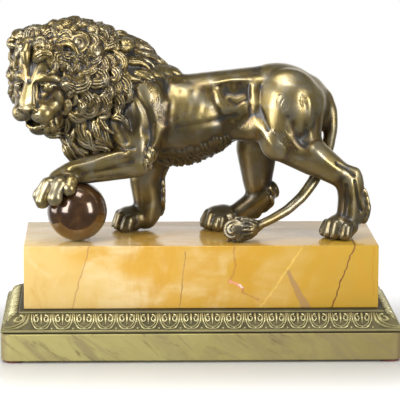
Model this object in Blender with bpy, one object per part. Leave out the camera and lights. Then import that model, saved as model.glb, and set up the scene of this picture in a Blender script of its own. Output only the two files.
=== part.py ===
"""A bronze lion with one paw on a ball, on a marble plinth and a brass base. Metres, +Z up."""

import math

import bmesh
import bpy
import numpy as np
from mathutils import Matrix, Vector
from mathutils.bvhtree import BVHTree

MM = 0.001

# The base and plinth, in millimetres
PAD_HEIGHT = 2.0
PAD_RADIUS = 10.0
SLAB_SIZE = (403.0, 186.0, 27.5)
SLAB_CORNER = 11.0
MOULDING_HEIGHT = 20.5
PLINTH_SIZE = (357.0, 140.0, 64.0)
SEAT_GAP = 0.3

# Heights of the seats above the floor
SLAB_BOTTOM = PAD_HEIGHT + SEAT_GAP
SLAB_TOP = SLAB_BOTTOM + SLAB_SIZE[2]
MOULDING_BOTTOM = SLAB_TOP + SEAT_GAP
PLINTH_BOTTOM = MOULDING_BOTTOM + MOULDING_HEIGHT + SEAT_GAP
PLINTH_TOP = PLINTH_BOTTOM + PLINTH_SIZE[2]

# The ball, its centre measured above the plinth
BALL_RADIUS = 30.4
BALL_CENTRE = Vector((-125.0, -37.5, BALL_RADIUS + SEAT_GAP))

# The lion's clay is laid up in millimetres above the plinth's top. The head looks towards -X and -Y,
# so the lion's left side is at -Y.
NEAR = -1.0
FAR = 1.0


class Clay:
    """Overlapping closed lumps, laid up before they are fused into one skin."""

    def __init__(self):
        self.points = []
        self.faces = []
        self.count = 0

    def add(self, points, faces):
        points = np.asarray(points, float)
        self.points.append(points)
        self.faces.extend(tuple(i + self.count for i in face) for face in faces)
        self.count += len(points)

    def rings(self, rings, first_pole, last_pole):
        """A closed skin over a stack of rings, with one point at each end."""
        sides = len(rings[0])
        points = [first_pole, *[p for ring in rings for p in ring], last_pole]
        last = len(points) - 1
        faces = []
        for side in range(sides):
            after = (side + 1) % sides
            faces.append((0, 1 + after, 1 + side))
            for row in range(len(rings) - 1):
                low = 1 + row * sides
                high = low + sides
                faces.append((low + side, low + after, high + after, high + side))
            top = 1 + (len(rings) - 1) * sides
            faces.append((last, top + side, top + after))
        self.add(points, faces)

    def limb(self, start, start_radius, end, end_radius, flat=1.0, across=(0, 1, 0), sides=20):
        """Two balls joined by the cone that touches both, pressed to flat times its width along across."""
        start = Vector(start)
        end = Vector(end)
        along = end - start
        length = max(along.length, 0.01)
        lean = (start_radius - end_radius) / length
        lean = math.asin(max(-0.99, min(0.99, lean)))
        arc_steps = 5
        profile = []
        for i in range(1, arc_steps + 1):
            angle = -math.pi / 2 + (math.pi / 2 + lean) * i / arc_steps
            profile.append((start_radius * math.sin(angle), start_radius * math.cos(angle)))
        for i in range(arc_steps):
            angle = lean + (math.pi / 2 - lean) * i / arc_steps
            profile.append((length + end_radius * math.sin(angle), end_radius * math.cos(angle)))
        direction = along.normalized() if along.length > 0.01 else Vector((0, 0, 1))
        side = Vector(across) - direction * Vector(across).dot(direction)
        side = side.normalized() if side.length > 0.01 else direction.orthogonal().normalized()
        other = direction.cross(side)
        turns = [2 * math.pi * i / sides for i in range(sides)]
        rings = [
            [start + direction * h + side * (r * flat * math.cos(t)) + other * (r * math.sin(t)) for t in turns]
            for h, r in profile
        ]
        self.rings(rings, start - direction * start_radius, end + direction * end_radius)

    def chain(self, joints, flat=1.0, across=(0, 1, 0), sides=20):
        """A run of limbs through (point, radius) pairs."""
        for (start, start_radius), (end, end_radius) in zip(joints, joints[1:]):
            self.limb(start, start_radius, end, end_radius, flat, across, sides)

    def egg(self, centre, radii, turn=(0, 0, 0)):
        """An ellipsoid, turned by angles about X, Y and Z in degrees."""
        rotation = Matrix.Rotation(math.radians(turn[2]), 3, "Z")
        rotation = rotation @ Matrix.Rotation(math.radians(turn[1]), 3, "Y")
        rotation = rotation @ Matrix.Rotation(math.radians(turn[0]), 3, "X")
        sides = 24
        rows = 12
        rings = []
        for row in range(1, rows):
            low = -math.pi / 2 + math.pi * row / rows
            rings.append(
                [
                    Vector(centre)
                    + rotation
                    @ Vector(
                        (
                            radii[0] * math.cos(low) * math.cos(2 * math.pi * i / sides),
                            radii[1] * math.cos(low) * math.sin(2 * math.pi * i / sides),
                            radii[2] * math.sin(low),
                        )
                    )
                    for i in range(sides)
                ]
            )
        pole = rotation @ Vector((0, 0, radii[2]))
        self.rings(rings, Vector(centre) - pole, Vector(centre) + pole)


def mesh_object(name, points, faces):
    mesh = bpy.data.meshes.new(name)
    mesh.from_pydata([tuple(p) for p in points], [], faces)
    mesh.validate()
    made = bpy.data.objects.new(name, mesh)
    bpy.context.scene.collection.objects.link(made)
    return made


def evaluated(made):
    """The points and faces of an object with its modifiers, which is then removed."""
    graph = bpy.context.evaluated_depsgraph_get()
    mesh = bpy.data.meshes.new_from_object(made.evaluated_get(graph))
    points = np.empty(len(mesh.vertices) * 3, np.float32)
    mesh.vertices.foreach_get("co", points)
    faces = [tuple(p.vertices) for p in mesh.polygons]
    bpy.data.objects.remove(made)
    return points.reshape(-1, 3).astype(float), faces


def fused(clay, voxel, smoothing, factor=0.5):
    """The clay's lumps as one skin, with the creases between them eased."""
    made = mesh_object("clay", np.concatenate(clay.points), clay.faces)
    remesh = made.modifiers.new("fuse", "REMESH")
    remesh.mode = "VOXEL"
    remesh.voxel_size = voxel
    if smoothing:
        ease = made.modifiers.new("ease", "SMOOTH")
        ease.iterations = smoothing
        ease.factor = factor
    return evaluated(made)


def lay_trunk(clay):
    clay.egg((-20, 0, 120), (62, 39, 42))
    clay.egg((-62, 0, 123), (44, 42, 48))
    clay.egg((-14, 0, 100), (49, 26, 22))
    clay.egg((34, 0, 131), (50, 31, 34), (0, 6, 0))
    clay.egg((82, 0, 138), (46, 35, 37), (0, 8, 0))
    clay.egg((106, 0, 132), (28, 29, 33))
    clay.limb((-95, -3, 157), 44, (-24, 0, 137), 25, 0.85)
    clay.limb((-78, 0, 148), 41, (-36, 0, 141), 30, 0.7)
    clay.limb((-30, 0, 137), 25, (62, 0, 146), 26)
    # The flank's fold runs from the belly into the thigh
    for side in (NEAR, FAR):
        clay.limb((38, side * 20, 108), 10, (78, side * 26, 112), 16)


def lay_belly_fringe(clay):
    """The fur that hangs along the belly from behind the elbows to the flank."""
    for i in range(12):
        x = -50 + i * 7.5
        tip = 68 + 0.007 * (x + 27) ** 2
        clay.chain([((x - 3, 0, tip + 17), 9), ((x, 0, tip + 9), 6.5), ((x + 4, 0, tip + 4), 3.2)], 1.5)


def lay_near_hind_leg(clay):
    clay.egg((88, -18, 131), (37, 24, 41), (0, 12, 0))
    clay.limb((91, -20, 137), 33, (80, -30, 100), 21, 0.8)
    clay.limb((106, -16, 138), 22, (108, -24, 100), 15, 0.8)
    clay.limb((108, -24, 98), 15, (134, -27, 74), 8, 0.7)
    clay.limb((81, -30, 100), 20, (116, -29, 82), 18.5, 0.8)
    clay.limb((114, -29, 84), 18.5, (146, -27, 63), 12.5, 0.85)
    clay.limb((134, -26, 76), 4.5, (159, -27, 68), 5.5)
    clay.limb((154, -27, 61), 10, (158, -27, 64), 6)
    clay.chain([((150.5, -27, 58), 12.8), ((152, -27, 42), 11.6), ((151, -27, 22), 12.3)])
    clay.chain([((161, -27, 62), 6), ((163.5, -27, 46), 5), ((166.5, -26, 30), 6), ((164, -26, 19), 5)])


def lay_far_hind_leg(clay):
    clay.egg((76, 18, 124), (36, 22, 40))
    clay.limb((70, 22, 114), 28, (59.5, 27, 86), 20.5, 0.8)
    clay.limb((59, 27, 86), 20.5, (61.5, 28, 48), 15, 0.9)
    clay.limb((74, 27, 78), 8, (71, 28, 42), 5)
    clay.limb((66, 28, 42), 11.5, (69, 28, 40), 6)
    clay.chain([((69, 28, 37), 13.2), ((54, 28, 25), 12.2), ((38, 27, 14), 11.5)])
    clay.limb((70, 30, 34), 5, (60, 31, 16), 7)


def lay_far_foreleg(clay):
    clay.limb((-54, 26, 120), 26, (-44, 26, 86), 19, 0.8)
    clay.limb((-45, 26, 86), 20, (-56, 24, 54), 16)
    clay.limb((-56, 24, 54), 16, (-53, 24, 28), 14)
    clay.limb((-53, 24, 30), 14, (-55, 23, 15), 14)
    clay.chain([((-43, 25, 64), 5), ((-42, 25, 44), 5.5), ((-42, 25, 26), 5.5), ((-43, 25, 14), 4.5)])


def lay_near_foreleg(clay):
    clay.egg((-60, -26, 128), (29, 18, 40), (0, -8, 0))
    clay.limb((-76, -30, 120), 21, (-62, -36, 88), 16, 0.8)
    clay.limb((-46, -30, 118), 14, (-58, -36, 86), 12, 0.8)
    clay.chain([((-64, -38, 79), 14.5), ((-98, -39, 75.5), 15), ((-130, -40, 69.5), 12.5)], 0.88)
    clay.limb((-130, -40, 69.5), 12.5, (-144, -43, 63), 11)


# The three paws on the plinth: the ankle, the way ahead in degrees from -X towards -Y, and the width
PAWS = [
    ((148, -26, 14), 38, 37),
    ((27, 27, 14), 22, 39),
    ((-65, 23, 14), 12, 42),
]


def paw_axes(turned):
    ahead = Vector((-math.cos(math.radians(turned)), -math.sin(math.radians(turned)), 0))
    return ahead, Vector((0, 0, 1)).cross(ahead)


def lay_paw_pad(clay, ankle, turned):
    ahead, side = paw_axes(turned)
    clay.limb(ankle, 12.5, ankle + ahead * 9, 11.5, 1.35, side)
    clay.limb(ankle + ahead * 4 - Vector((0, 0, 5)), 10, ankle + ahead * 12 - Vector((0, 0, 5)), 9.5, 1.65, side)


def lay_toes(clay, ankle, turned, width):
    """Four round toes, flat on the plinth, ahead of the ankle."""
    ahead, side = paw_axes(turned)
    pitch = width / 4
    for toe in range(4):
        off = side * (toe - 1.5) * pitch
        middle = toe in (1, 2)
        reach = 24.0 if middle else 20.0
        root = ankle + off * 0.7 + ahead * 5
        root.z = 17.0 if middle else 14.0
        knuckle = ankle + ahead * (reach - 9) + off
        knuckle.z = 16.0 if middle else 13.5
        tip = ankle + ahead * (reach - 6.3) + off * 1.08
        tip.z = 7.6
        clay.limb(root, 5.5, knuckle, 6.3)
        clay.limb(knuckle, 6.3, tip, 6.4)
        claw = tip + ahead * 5.2 + Vector((0, 0, -1.5))
        clay.chain([(claw, 1.5), (claw + ahead * 0.9 - Vector((0, 0, 1.8)), 0.9)])


# Each raised toe: degrees from -X towards -Y, then how far out and how high its knuckle and tip are
RAISED_TOES = [
    (-8, 30, 57.5, 38.5, 46.0, 7.3),
    (25, 30, 60.0, 38.0, 44.0, 7.9),
    (53, 28, 61.5, 36.0, 49.0, 7.9),
    (72, 20, 63.0, 25.5, 57.5, 7.2),
]


def lay_raised_pad(clay):
    clay.egg((-139, -44, 63.5), (18, 17, 9.5), (0, -18, 40))


def lay_raised_toes(clay):
    axis = Vector((BALL_CENTRE.x, BALL_CENTRE.y, 0))
    for degrees, knuckle_out, knuckle_high, tip_out, tip_high, thick in RAISED_TOES:
        angle = math.radians(degrees)
        out = Vector((-math.cos(angle), -math.sin(angle), 0))
        knuckle = axis + out * knuckle_out + Vector((0, 0, knuckle_high))
        tip = axis + out * tip_out + Vector((0, 0, tip_high))
        waist = knuckle.lerp(tip, 0.55) + out * 1.2
        clay.limb(Vector((-134, -42, 63)), 8, knuckle, thick * 0.92)
        clay.limb(knuckle, thick, waist, thick * 0.8)
        clay.limb(waist, thick * 0.8, tip, thick)
        claw = tip + out * 4.6 - Vector((0, 0, 4.2))
        clay.chain([(claw, 1.7), (claw - Vector((0, 0, 1.6)), 1.0)])


TAIL = [
    ((100, 0, 156), 12),
    ((114, -1, 151), 10),
    ((128.5, -2, 140), 8.5),
    ((134, -3, 126), 7.8),
    ((135, -4, 109), 7.3),
    ((131.5, -5, 90), 7.2),
    ((125, -7, 72.5), 7),
    ((116.5, -12, 56), 6.6),
    ((104.5, -19, 41.5), 6.2),
    ((89, -28, 29.5), 5.7),
    ((72.5, -38, 22), 5.4),
    ((58, -45.5, 17), 5.2),
]


def lay_tail(clay):
    clay.chain(TAIL)
    clay.limb((58, -45.5, 16), 6, (46, -48, 14.5), 11)
    clay.limb((46, -48, 14.5), 11, (34, -51.5, 13.5), 11.5)


def lay_mane_base(clay):
    clay.limb((-64, 0, 143), 40, (-118, -6, 153), 47, 0.95)
    clay.limb((-112, -4, 188), 19, (-62, 0, 172), 17.5)
    clay.egg((-130, -6, 168), (47, 41, 48))
    clay.egg((-144, -6, 160), (45, 41, 48))
    clay.egg((-163, -2, 179), (24, 29, 30))
    clay.chain([((-170, -6, 190), 13), ((-181, -9, 197), 6.5), ((-187, -10, 199), 4.5)])
    clay.limb((-174, 0, 162), 14, (-178, -2, 147), 11)
    clay.limb((-104, -8, 118), 36, (-123, -13, 93), 12.5)
    clay.limb((-142, -18, 124), 12, (-149, -27, 112), 7)


HEAD_CENTRE = Vector((-155, -24, 163))
HEAD_YAW = 30.0
HEAD_PITCH = 12.0


def head_matrix():
    """Head axes: X to the lion's left cheek, -Y ahead and Z up, before the head is turned and bowed."""
    turn = Matrix.Rotation(math.radians(-HEAD_YAW), 4, "Z")
    bow = Matrix.Rotation(math.radians(HEAD_PITCH), 4, "X")
    return Matrix.Translation(HEAD_CENTRE) @ turn @ bow


class HeadClay(Clay):
    """Clay laid up in the head's own axes."""

    def both(self, start, start_radius, end, end_radius, flat=1.0, across=(0, 1, 0)):
        for side in (-1, 1):
            mirror = Vector((side, 1, 1))
            self.limb(Vector(start) * mirror, start_radius, Vector(end) * mirror, end_radius, flat, across)

    def both_eggs(self, centre, radii, turn=(0, 0, 0)):
        for side in (-1, 1):
            self.egg(
                (side * centre[0], centre[1], centre[2]),
                radii,
                (turn[0], side * turn[1], side * turn[2]),
            )


def lay_head_masses(clay):
    clay.egg((0, 2, 5), (31, 30, 33))
    clay.both_eggs((9.2, -17, 20), (9.4, 10.5, 19), (-14, 0, 0))
    clay.both((6.2, -24, 14), 5.4, (4.8, -30, 3), 5)
    clay.both((9, -28, 8), 3.4, (18, -23.5, 9), 4.2)
    clay.both((18, -22, 8), 5, (24, -11, 1), 5)
    clay.both((3.4, -28, 6), 5.0, (5.0, -40, -13), 5.2)
    clay.limb((0, -27.5, 6), 6.0, (0, -40.5, -14), 6.2)
    clay.both_eggs((10.6, -32.5, -25.2), (12.4, 12.6, 10.4), (0, 0, 16))
    clay.both_eggs((20, -13, -10), (11, 15.5, 17.5))
    clay.both((12, -25, -8), 6.5, (25, -11, 0), 9)
    clay.both((6, -32, -16), 7.5, (15, -22, -20), 11)
    clay.both((23, -2, -18), 9, (9, -19, -42), 8)
    clay.egg((0, -24, -44), (11.5, 10.5, 7.5))


def lay_face(clay):
    """The eyes, their lids, the nose, the lips and a tooth, which keep crisper edges."""
    clay.both_eggs((15.4, -25.2, 0.2), (6.8, 6.4, 5.0))
    for side in (-1, 1):
        upper = []
        lower = []
        for i in range(6):
            angle = math.pi * i / 5
            x = 15.6 - 8.6 * math.cos(angle)
            y = -30.6 + 1.0 * abs(x - 13) ** 1.25 / 2.2
            drop = 1.4 - 0.09 * x
            upper.append((Vector((side * x, y, drop + 3.3 * math.sin(angle))), 1.3))
            lower.append((Vector((side * x, y + 0.6, drop - 0.6 - 2.7 * math.sin(angle))), 0.95))
        clay.chain(upper)
        clay.chain(lower)
    clay.egg((0, -43.8, -17.2), (10.2, 4.2, 3.2))
    clay.both_eggs((8, -42.2, -18.8), (3.4, 4, 3.0))
    clay.limb((0, -43.8, -18.5), 4.4, (0, -42, -27), 2.0)
    clay.both((2, -35.5, -40.5), 2.5, (8.5, -32, -39.5), 2.2)
    clay.both((8.5, -32, -39.5), 2.2, (15, -23, -35.5), 1.5)
    clay.both((9.5, -34.5, -33), 1.8, (9.2, -34, -38), 1.0)
    for side in (-1, 1):
        rim = []
        for i in range(9):
            angle = math.pi * (i / 8 * 1.25 - 0.12)
            rim.append((Vector((side * (29 + 9 * math.cos(angle)), 1, 27 + 10 * math.sin(angle))), 3.0))
        clay.chain(rim)


# Grooves in the face, in the head's axes for its left side: depth, half width and the points on the way
FACE_GROOVES = [
    (2.2, 2.0, [(0, -32, 36), (0, -34, 20), (0, -34, 8)]),
    (2.2, 1.2, [(0, -46, -22), (0, -44, -32)]),
    (3.8, 1.9, [(0, -42, -35.8), (9, -39, -36.4), (17, -30, -33.5), (22, -22, -27)]),
    (2.6, 1.2, [(7.6, -46, -19.3), (3.8, -47, -22.6)]),
    (1.5, 1.4, [(6.3, -33, 5), (8.5, -38, -8), (11, -39, -16)]),
    (0.9, 0.8, [(12, -43, -21), (18, -36, -19)]),
    (0.9, 0.8, [(12, -44.5, -24.5), (19, -36, -22.5)]),
    (0.9, 0.8, [(12, -45, -28), (19, -35.5, -26)]),
    (1.6, 1.5, [(18, -27, 15), (11, -30, 17), (8, -31, 26)]),
    (1.3, 1.2, [(24, -20, -4), (18, -27, -8), (13, -32, -14)]),
    (1.6, 1.5, [(7.5, -31, 5.5), (10, -30, 1.5), (13, -30, -3)]),
    (1.4, 0.8, [(13.6, -31, 0.6), (15.4, -31, 1.9), (17.0, -30.5, 0.6), (15.4, -31, -0.7), (13.6, -31, 0.6)]),
    (3.5, 4.0, [(27, 0, 27), (31, 0, 26)]),
    (1.2, 1.6, [(26, -14, 10), (27, -10, 0), (24, -12, -8)]),
]


# How the mane's locks are laid: their spacing, width and height, in millimetres
LOCK_SPACING = 12.2
LOCK_WIDTH = 7.4
LOCK_HEIGHT = 6.5
LOCK_STEPS = 14


def mane_covers(point, ahead):
    """Whether a point of the clay's skin is under the mane. ahead is the point in the head's own axes."""
    rise = ahead.z / (30 if ahead.z > 0 else 56)
    if ahead.y < 4 and (ahead.x / 33) ** 2 + rise**2 < 1:
        return False
    if point.z < 80 or point.x < -152 + max(0, 106 - point.z) - 60 * min(1, max(0, (point.z - 104) / 10)):
        return False
    if point.y < -16 and point.z < 106 and (point.x > -106 or point.z < 93):
        return False
    side_edge = -76 - max(0, 150 - point.z) * 0.42
    crest_edge = -42
    crest = min(1, max(0, (point.z - 168) / 22))
    return point.x < side_edge + (crest_edge - side_edge) * crest


def mane_flow(point, ahead, turn):
    """The way that a lock lies at a point, away from the face and down the neck."""
    away = turn @ Vector((ahead.x, 14, ahead.z + 4)).normalized()
    behind = Vector((1, 0, -0.35)) * min(1, max(0, (point.x + 135) / 50))
    fall = Vector((0, 0, -1)) * (0.9 if point.z < 150 else 0.35)
    return away + behind + fall


def lay_lock(clay, skin, start, flow, size, curl, section, strands):
    """A tapered lock that follows the skin and curls at its tip."""
    point, normal = skin.find_nearest(start)[:2]
    heading = (flow - normal * flow.dot(normal)).normalized()
    step = size["length"] / LOCK_STEPS
    point = point - heading * step * 2.5
    rings = []
    for i in range(LOCK_STEPS + 1):
        part = i / LOCK_STEPS
        point, normal = skin.find_nearest(point)[:2]
        heading = (heading - normal * heading.dot(normal)).normalized()
        across = normal.cross(heading)
        width = size["width"] * (0.55 + 0.45 * math.sin(math.pi * min(1, part * 1.6 + 0.1)) if part < 0.5 else 1)
        width *= 1 - max(0, part - 0.45) ** 1.3 * 1.35
        rise = size["height"] * (0.25 + 0.75 * math.sin(math.pi * min(1, 0.12 + part * 0.85)))
        ring = []
        for j in range(section):
            angle = 2 * math.pi * j / section
            out = math.cos(angle)
            up = math.sin(angle)
            if up > 0:
                comb = 1 + 0.3 * math.cos(math.pi * strands * out)
                lift = rise * up * comb
            else:
                lift = up * 6.0
            ring.append(point + across * (width * out) + normal * (lift + rise * 0.15))
        rings.append(ring)
        bend = curl * (2.5 + 30 * part**1.7) * (30 / size["length"])
        heading = Matrix.Rotation(math.radians(bend), 3, normal) @ heading
        point = point + heading * step * (1 - 0.35 * part)
    first = sum((p for p in rings[0]), Vector()) / section
    last = sum((p for p in rings[-1]), Vector()) / section
    clay.rings(rings, first, last + heading * 1.5)


def spread(points, spacing, seed, keep):
    """Evenly spread points, chosen one at a time from the skin's own points."""
    order = np.random.default_rng(seed).permutation(len(points))
    chosen = np.empty((0, 3))
    for i in order:
        point = points[i]
        if not keep(point):
            continue
        if len(chosen) and np.min(np.sum((chosen - point) ** 2, axis=1)) < spacing**2:
            continue
        chosen = np.vstack([chosen, point])
    return chosen


def lay_mane(clay, points, faces, section=12, strands=3):
    skin = BVHTree.FromPolygons([Vector(p) for p in points], faces)
    to_head = head_matrix().inverted()
    turn = head_matrix().to_3x3()

    def under_mane(point):
        point = Vector(point)
        return mane_covers(point, to_head @ point)

    for seed in spread(points, LOCK_SPACING, 4, under_mane):
        point = Vector(seed)
        ahead = to_head @ point
        side = NEAR if point.y < -4 else FAR
        flow = mane_flow(point, ahead, turn)
        curl = side if point.z > 140 else -side
        length = 30 if point.z > 125 else 40
        size = {"length": length, "width": LOCK_WIDTH, "height": LOCK_HEIGHT}
        lay_lock(clay, skin, point, flow, size, curl, section, strands)


def normals_of(points, faces):
    mesh = bpy.data.meshes.new("skin")
    mesh.from_pydata([tuple(p) for p in points], [], faces)
    normals = np.empty(len(points) * 3, np.float32)
    mesh.vertex_normals.foreach_get("vector", normals)
    bpy.data.meshes.remove(mesh)
    return normals.reshape(-1, 3)


def carve(points, normals, path, half_width, depth):
    """Press a groove into the skin along a path. A negative depth raises a ridge."""
    path = np.array([tuple(p) for p in path])
    reach = half_width * 2.5
    near = np.all((points > path.min(0) - reach) & (points < path.max(0) + reach), axis=1).nonzero()[0]
    if not len(near):
        return
    here = points[near]
    distance = np.full(len(near), np.inf)
    for start, end in zip(path, path[1:]):
        along = end - start
        share = np.clip((here - start) @ along / max(along @ along, 1e-9), 0, 1)
        distance = np.minimum(distance, np.linalg.norm(here - (start + share[:, None] * along), axis=1))
    amount = depth * np.exp(-((distance / half_width) ** 2))
    points[near] -= normals[near] * amount[:, None]


def carve_face(points, normals):
    place = head_matrix()
    for depth, half_width, path in FACE_GROOVES:
        for side in (-1, 1):
            middle = all(p[0] == 0 for p in path)
            if middle and side > 0:
                continue
            placed = [place @ Vector((side * x, y, z)) for x, y, z in path]
            carve(points, normals, placed, half_width * 1.3, depth)


def in_place(head):
    """The head's clay as points of the lion's own frame."""
    place = np.array(head_matrix())
    return np.concatenate(head.points) @ place[:3, :3].T + place[:3, 3]


def build_lion(voxel, section):
    """The lion's skin: smooth masses first, then the head and paws, then the locks and fine forms."""
    body = Clay()
    lay_trunk(body)
    lay_belly_fringe(body)
    lay_near_hind_leg(body)
    lay_far_hind_leg(body)
    lay_far_foreleg(body)
    lay_near_foreleg(body)
    lay_tail(body)
    lay_mane_base(body)
    points, faces = fused(body, 2.5, 10)
    masses = Clay()
    masses.add(points, faces)
    lay_raised_pad(masses)
    for ankle, turned, _ in PAWS:
        lay_paw_pad(masses, Vector(ankle), turned)
    head = HeadClay()
    lay_head_masses(head)
    masses.add(in_place(head), head.faces)
    points, faces = fused(masses, 1.5, 6)
    lion = Clay()
    lion.add(points, faces)
    face = HeadClay()
    lay_face(face)
    lion.add(in_place(face), face.faces)
    for ankle, turned, width in PAWS:
        lay_toes(lion, Vector(ankle), turned, width)
    lay_raised_toes(lion)
    lay_mane(lion, points, faces, section)
    points, faces = fused(lion, voxel, 1)
    carve_face(points, normals_of(points, faces))
    return points, faces


# The lion's height on the plinth, against the height that it was modelled at
LION_STRETCH = 1.015
# How far the feet are sunk before they are cut flat
LION_SINK = 1.0
LION_VOXEL = 1.8
LION_TRIANGLES = 7600


def material(name, colour, metallic, roughness):
    made = bpy.data.materials.new(name)
    made.use_nodes = True
    shader = made.node_tree.nodes["Principled BSDF"]
    shader.inputs["Base Color"].default_value = (*colour, 1.0)
    shader.inputs["Metallic"].default_value = metallic
    shader.inputs["Roughness"].default_value = roughness
    return made


def shaded(made, surface, angle=30):
    made.data.materials.append(surface)
    made.data.shade_smooth()
    made.data.set_sharp_from_angle(angle=math.radians(angle))
    return made


def cleared(made, cutter):
    """An object with a cutter's volume taken out of it, as points and faces."""
    cutter.hide_render = True
    cutter.display_type = "WIRE"
    cut = made.modifiers.new("cut", "BOOLEAN")
    cut.operation = "DIFFERENCE"
    cut.solver = "EXACT"
    cut.object = cutter
    points, faces = evaluated(made)
    bpy.data.objects.remove(cutter)
    return points, faces


def make_lion(surface):
    """The whole cast lion as one skin, thinned, then cut clear of the ball and the plinth."""
    points, faces = build_lion(LION_VOXEL, 12)
    keep = largest_body(len(points), faces)
    rough = mesh_object("rough", points, [f for f in faces if keep[f[0]]])
    thin = rough.modifiers.new("thin", "DECIMATE")
    thin.ratio = LION_TRIANGLES / (2 * len(rough.data.polygons))
    thin.use_collapse_triangulate = True
    points, faces = evaluated(rough)
    points[:, 2] = points[:, 2] * LION_STRETCH - LION_SINK
    grown = ball_skin("ball_cutter", (BALL_RADIUS + SEAT_GAP) * MM)
    grown.location = BALL_CENTRE * MM
    bpy.context.view_layer.update()
    points, faces = cleared(mesh_object("lion", points * MM, faces), grown)
    floor = bmesh.new()
    bmesh.ops.create_cube(floor, size=1.0)
    bmesh.ops.translate(floor, vec=(0, 0, -0.5 + SEAT_GAP * MM), verts=floor.verts)
    mesh = bpy.data.meshes.new("plinth_cutter")
    floor.to_mesh(mesh)
    floor.free()
    cutter = bpy.data.objects.new("plinth_cutter", mesh)
    bpy.context.scene.collection.objects.link(cutter)
    points, faces = cleared(mesh_object("lion", points, faces), cutter)
    points[:, 2] += PLINTH_TOP * MM
    return shaded(mesh_object("lion", points, faces), surface, 60)


def largest_body(count, faces):
    """Which points belong to the skin with the most points, as a list of flags."""
    parent = list(range(count))

    def root(i):
        while parent[i] != i:
            parent[i] = parent[parent[i]]
            i = parent[i]
        return i

    for face in faces:
        first = root(face[0])
        for other in face[1:]:
            parent[root(other)] = first
    roots = [root(i) for i in range(count)]
    names, sizes = np.unique(roots, return_counts=True)
    biggest = names[np.argmax(sizes)]
    return [r == biggest for r in roots]


def ball_skin(name, radius):
    ball = bmesh.new()
    bmesh.ops.create_uvsphere(ball, u_segments=36, v_segments=18, radius=radius)
    mesh = bpy.data.meshes.new(name)
    ball.to_mesh(mesh)
    ball.free()
    made = bpy.data.objects.new(name, mesh)
    bpy.context.scene.collection.objects.link(made)
    return made


def make_ball(surface):
    made = ball_skin("ball", BALL_RADIUS * MM)
    made.location = (BALL_CENTRE + Vector((0, 0, PLINTH_TOP))) * MM
    return shaded(made, surface)


def rounded_outline(half_x, half_y, corner):
    """The corners of a rectangle seen from above, rounded where corner isn't nought."""
    steps = 6 if corner > 3 else 1
    outline = []
    for quarter, (sx, sy) in enumerate([(1, 1), (-1, 1), (-1, -1), (1, -1)]):
        if corner <= 0:
            outline.append((sx * half_x, sy * half_y))
            continue
        for i in range(steps + 1):
            angle = math.pi / 2 * (quarter + i / steps)
            outline.append(
                (
                    sx * (half_x - corner) + corner * math.cos(angle),
                    sy * (half_y - corner) + corner * math.sin(angle),
                )
            )
    return outline


def make_stack(name, size, corner, profile, bottom, surface):
    """A block whose outline steps in by the profile's (inset, height) pairs, from bottom to top."""
    skin = bmesh.new()
    loops = []
    for inset, height in profile:
        outline = rounded_outline(size[0] / 2 - inset, size[1] / 2 - inset, max(0, corner - inset))
        loops.append([skin.verts.new((x * MM, y * MM, (bottom + height) * MM)) for x, y in outline])
    for low, high in zip(loops, loops[1:]):
        for i in range(len(low)):
            j = (i + 1) % len(low)
            skin.faces.new((low[i], low[j], high[j], high[i]))
    skin.faces.new(reversed(loops[0]))
    skin.faces.new(loops[-1])
    mesh = bpy.data.meshes.new(name)
    skin.to_mesh(mesh)
    skin.free()
    made = bpy.data.objects.new(name, mesh)
    bpy.context.scene.collection.objects.link(made)
    return shaded(made, surface)


def eased(size, edge):
    """A straight-sided profile with its bottom and top edges eased."""
    return [(edge, 0), (0, edge), (0, size[2] - edge), (edge, size[2])]


# How far in from the slab's edge, and how far up, each corner of the moulding's profile lies
MOULDING_PROFILE = [
    (0.0, 0.0),
    (0.0, 2.8),
    (2.2, 4.2),
    (4.6, 8.0),
    (8.2, 13.0),
    (13.2, 16.6),
    (17.6, 18.4),
    (18.4, 19.0),
    (18.4, MOULDING_HEIGHT),
]


def make_pads(surface):
    x = SLAB_SIZE[0] / 2 - PAD_RADIUS - 2
    y = SLAB_SIZE[1] / 2 - PAD_RADIUS - 2
    for i, (sx, sy) in enumerate([(-1, -1), (1, -1), (1, 1), (-1, 1)], 1):
        pad = bmesh.new()
        bmesh.ops.create_cone(
            pad,
            cap_ends=True,
            segments=24,
            radius1=PAD_RADIUS * MM,
            radius2=PAD_RADIUS * MM,
            depth=PAD_HEIGHT * MM,
        )
        mesh = bpy.data.meshes.new(f"foot_pad_{i}")
        pad.to_mesh(mesh)
        pad.free()
        made = bpy.data.objects.new(f"foot_pad_{i}", mesh)
        made.location = (sx * x * MM, sy * y * MM, PAD_HEIGHT / 2 * MM)
        bpy.context.scene.collection.objects.link(made)
        shaded(made, surface)


def main():
    for old in list(bpy.data.objects):
        bpy.data.objects.remove(old)
    bronze = material("brown_gold_bronze", (0.22, 0.15, 0.05), 1.0, 0.35)
    dark_bronze = material("polished_dark_bronze", (0.12, 0.05, 0.03), 1.0, 0.15)
    marble = material("yellow_marble", (0.75, 0.45, 0.12), 0.0, 0.2)
    brass = material("satin_brass", (0.35, 0.3, 0.12), 1.0, 0.4)
    rubber = material("brown_pads", (0.12, 0.05, 0.04), 0.0, 0.8)
    make_lion(bronze)
    make_ball(dark_bronze)
    make_stack("marble_plinth", PLINTH_SIZE, 1.2, eased(PLINTH_SIZE, 0.6), PLINTH_BOTTOM, marble)
    make_stack("leaf_moulding", SLAB_SIZE, 0, MOULDING_PROFILE, MOULDING_BOTTOM, brass)
    make_stack("base_slab", SLAB_SIZE, SLAB_CORNER, eased(SLAB_SIZE, 0.8), SLAB_BOTTOM, brass)
    make_pads(rubber)


main()
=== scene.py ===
# %% [markdown]
# # A bronze lion with one paw on a ball
# This notebook dresses a small table bronze: a walking lion, cast in one piece, that rests a forepaw on a
# polished ball. It stands on a block of yellow marble, over a leaf moulding and a plain brass slab.
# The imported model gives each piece's size. Everything here is laid over it in the same place.

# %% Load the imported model
import math

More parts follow.
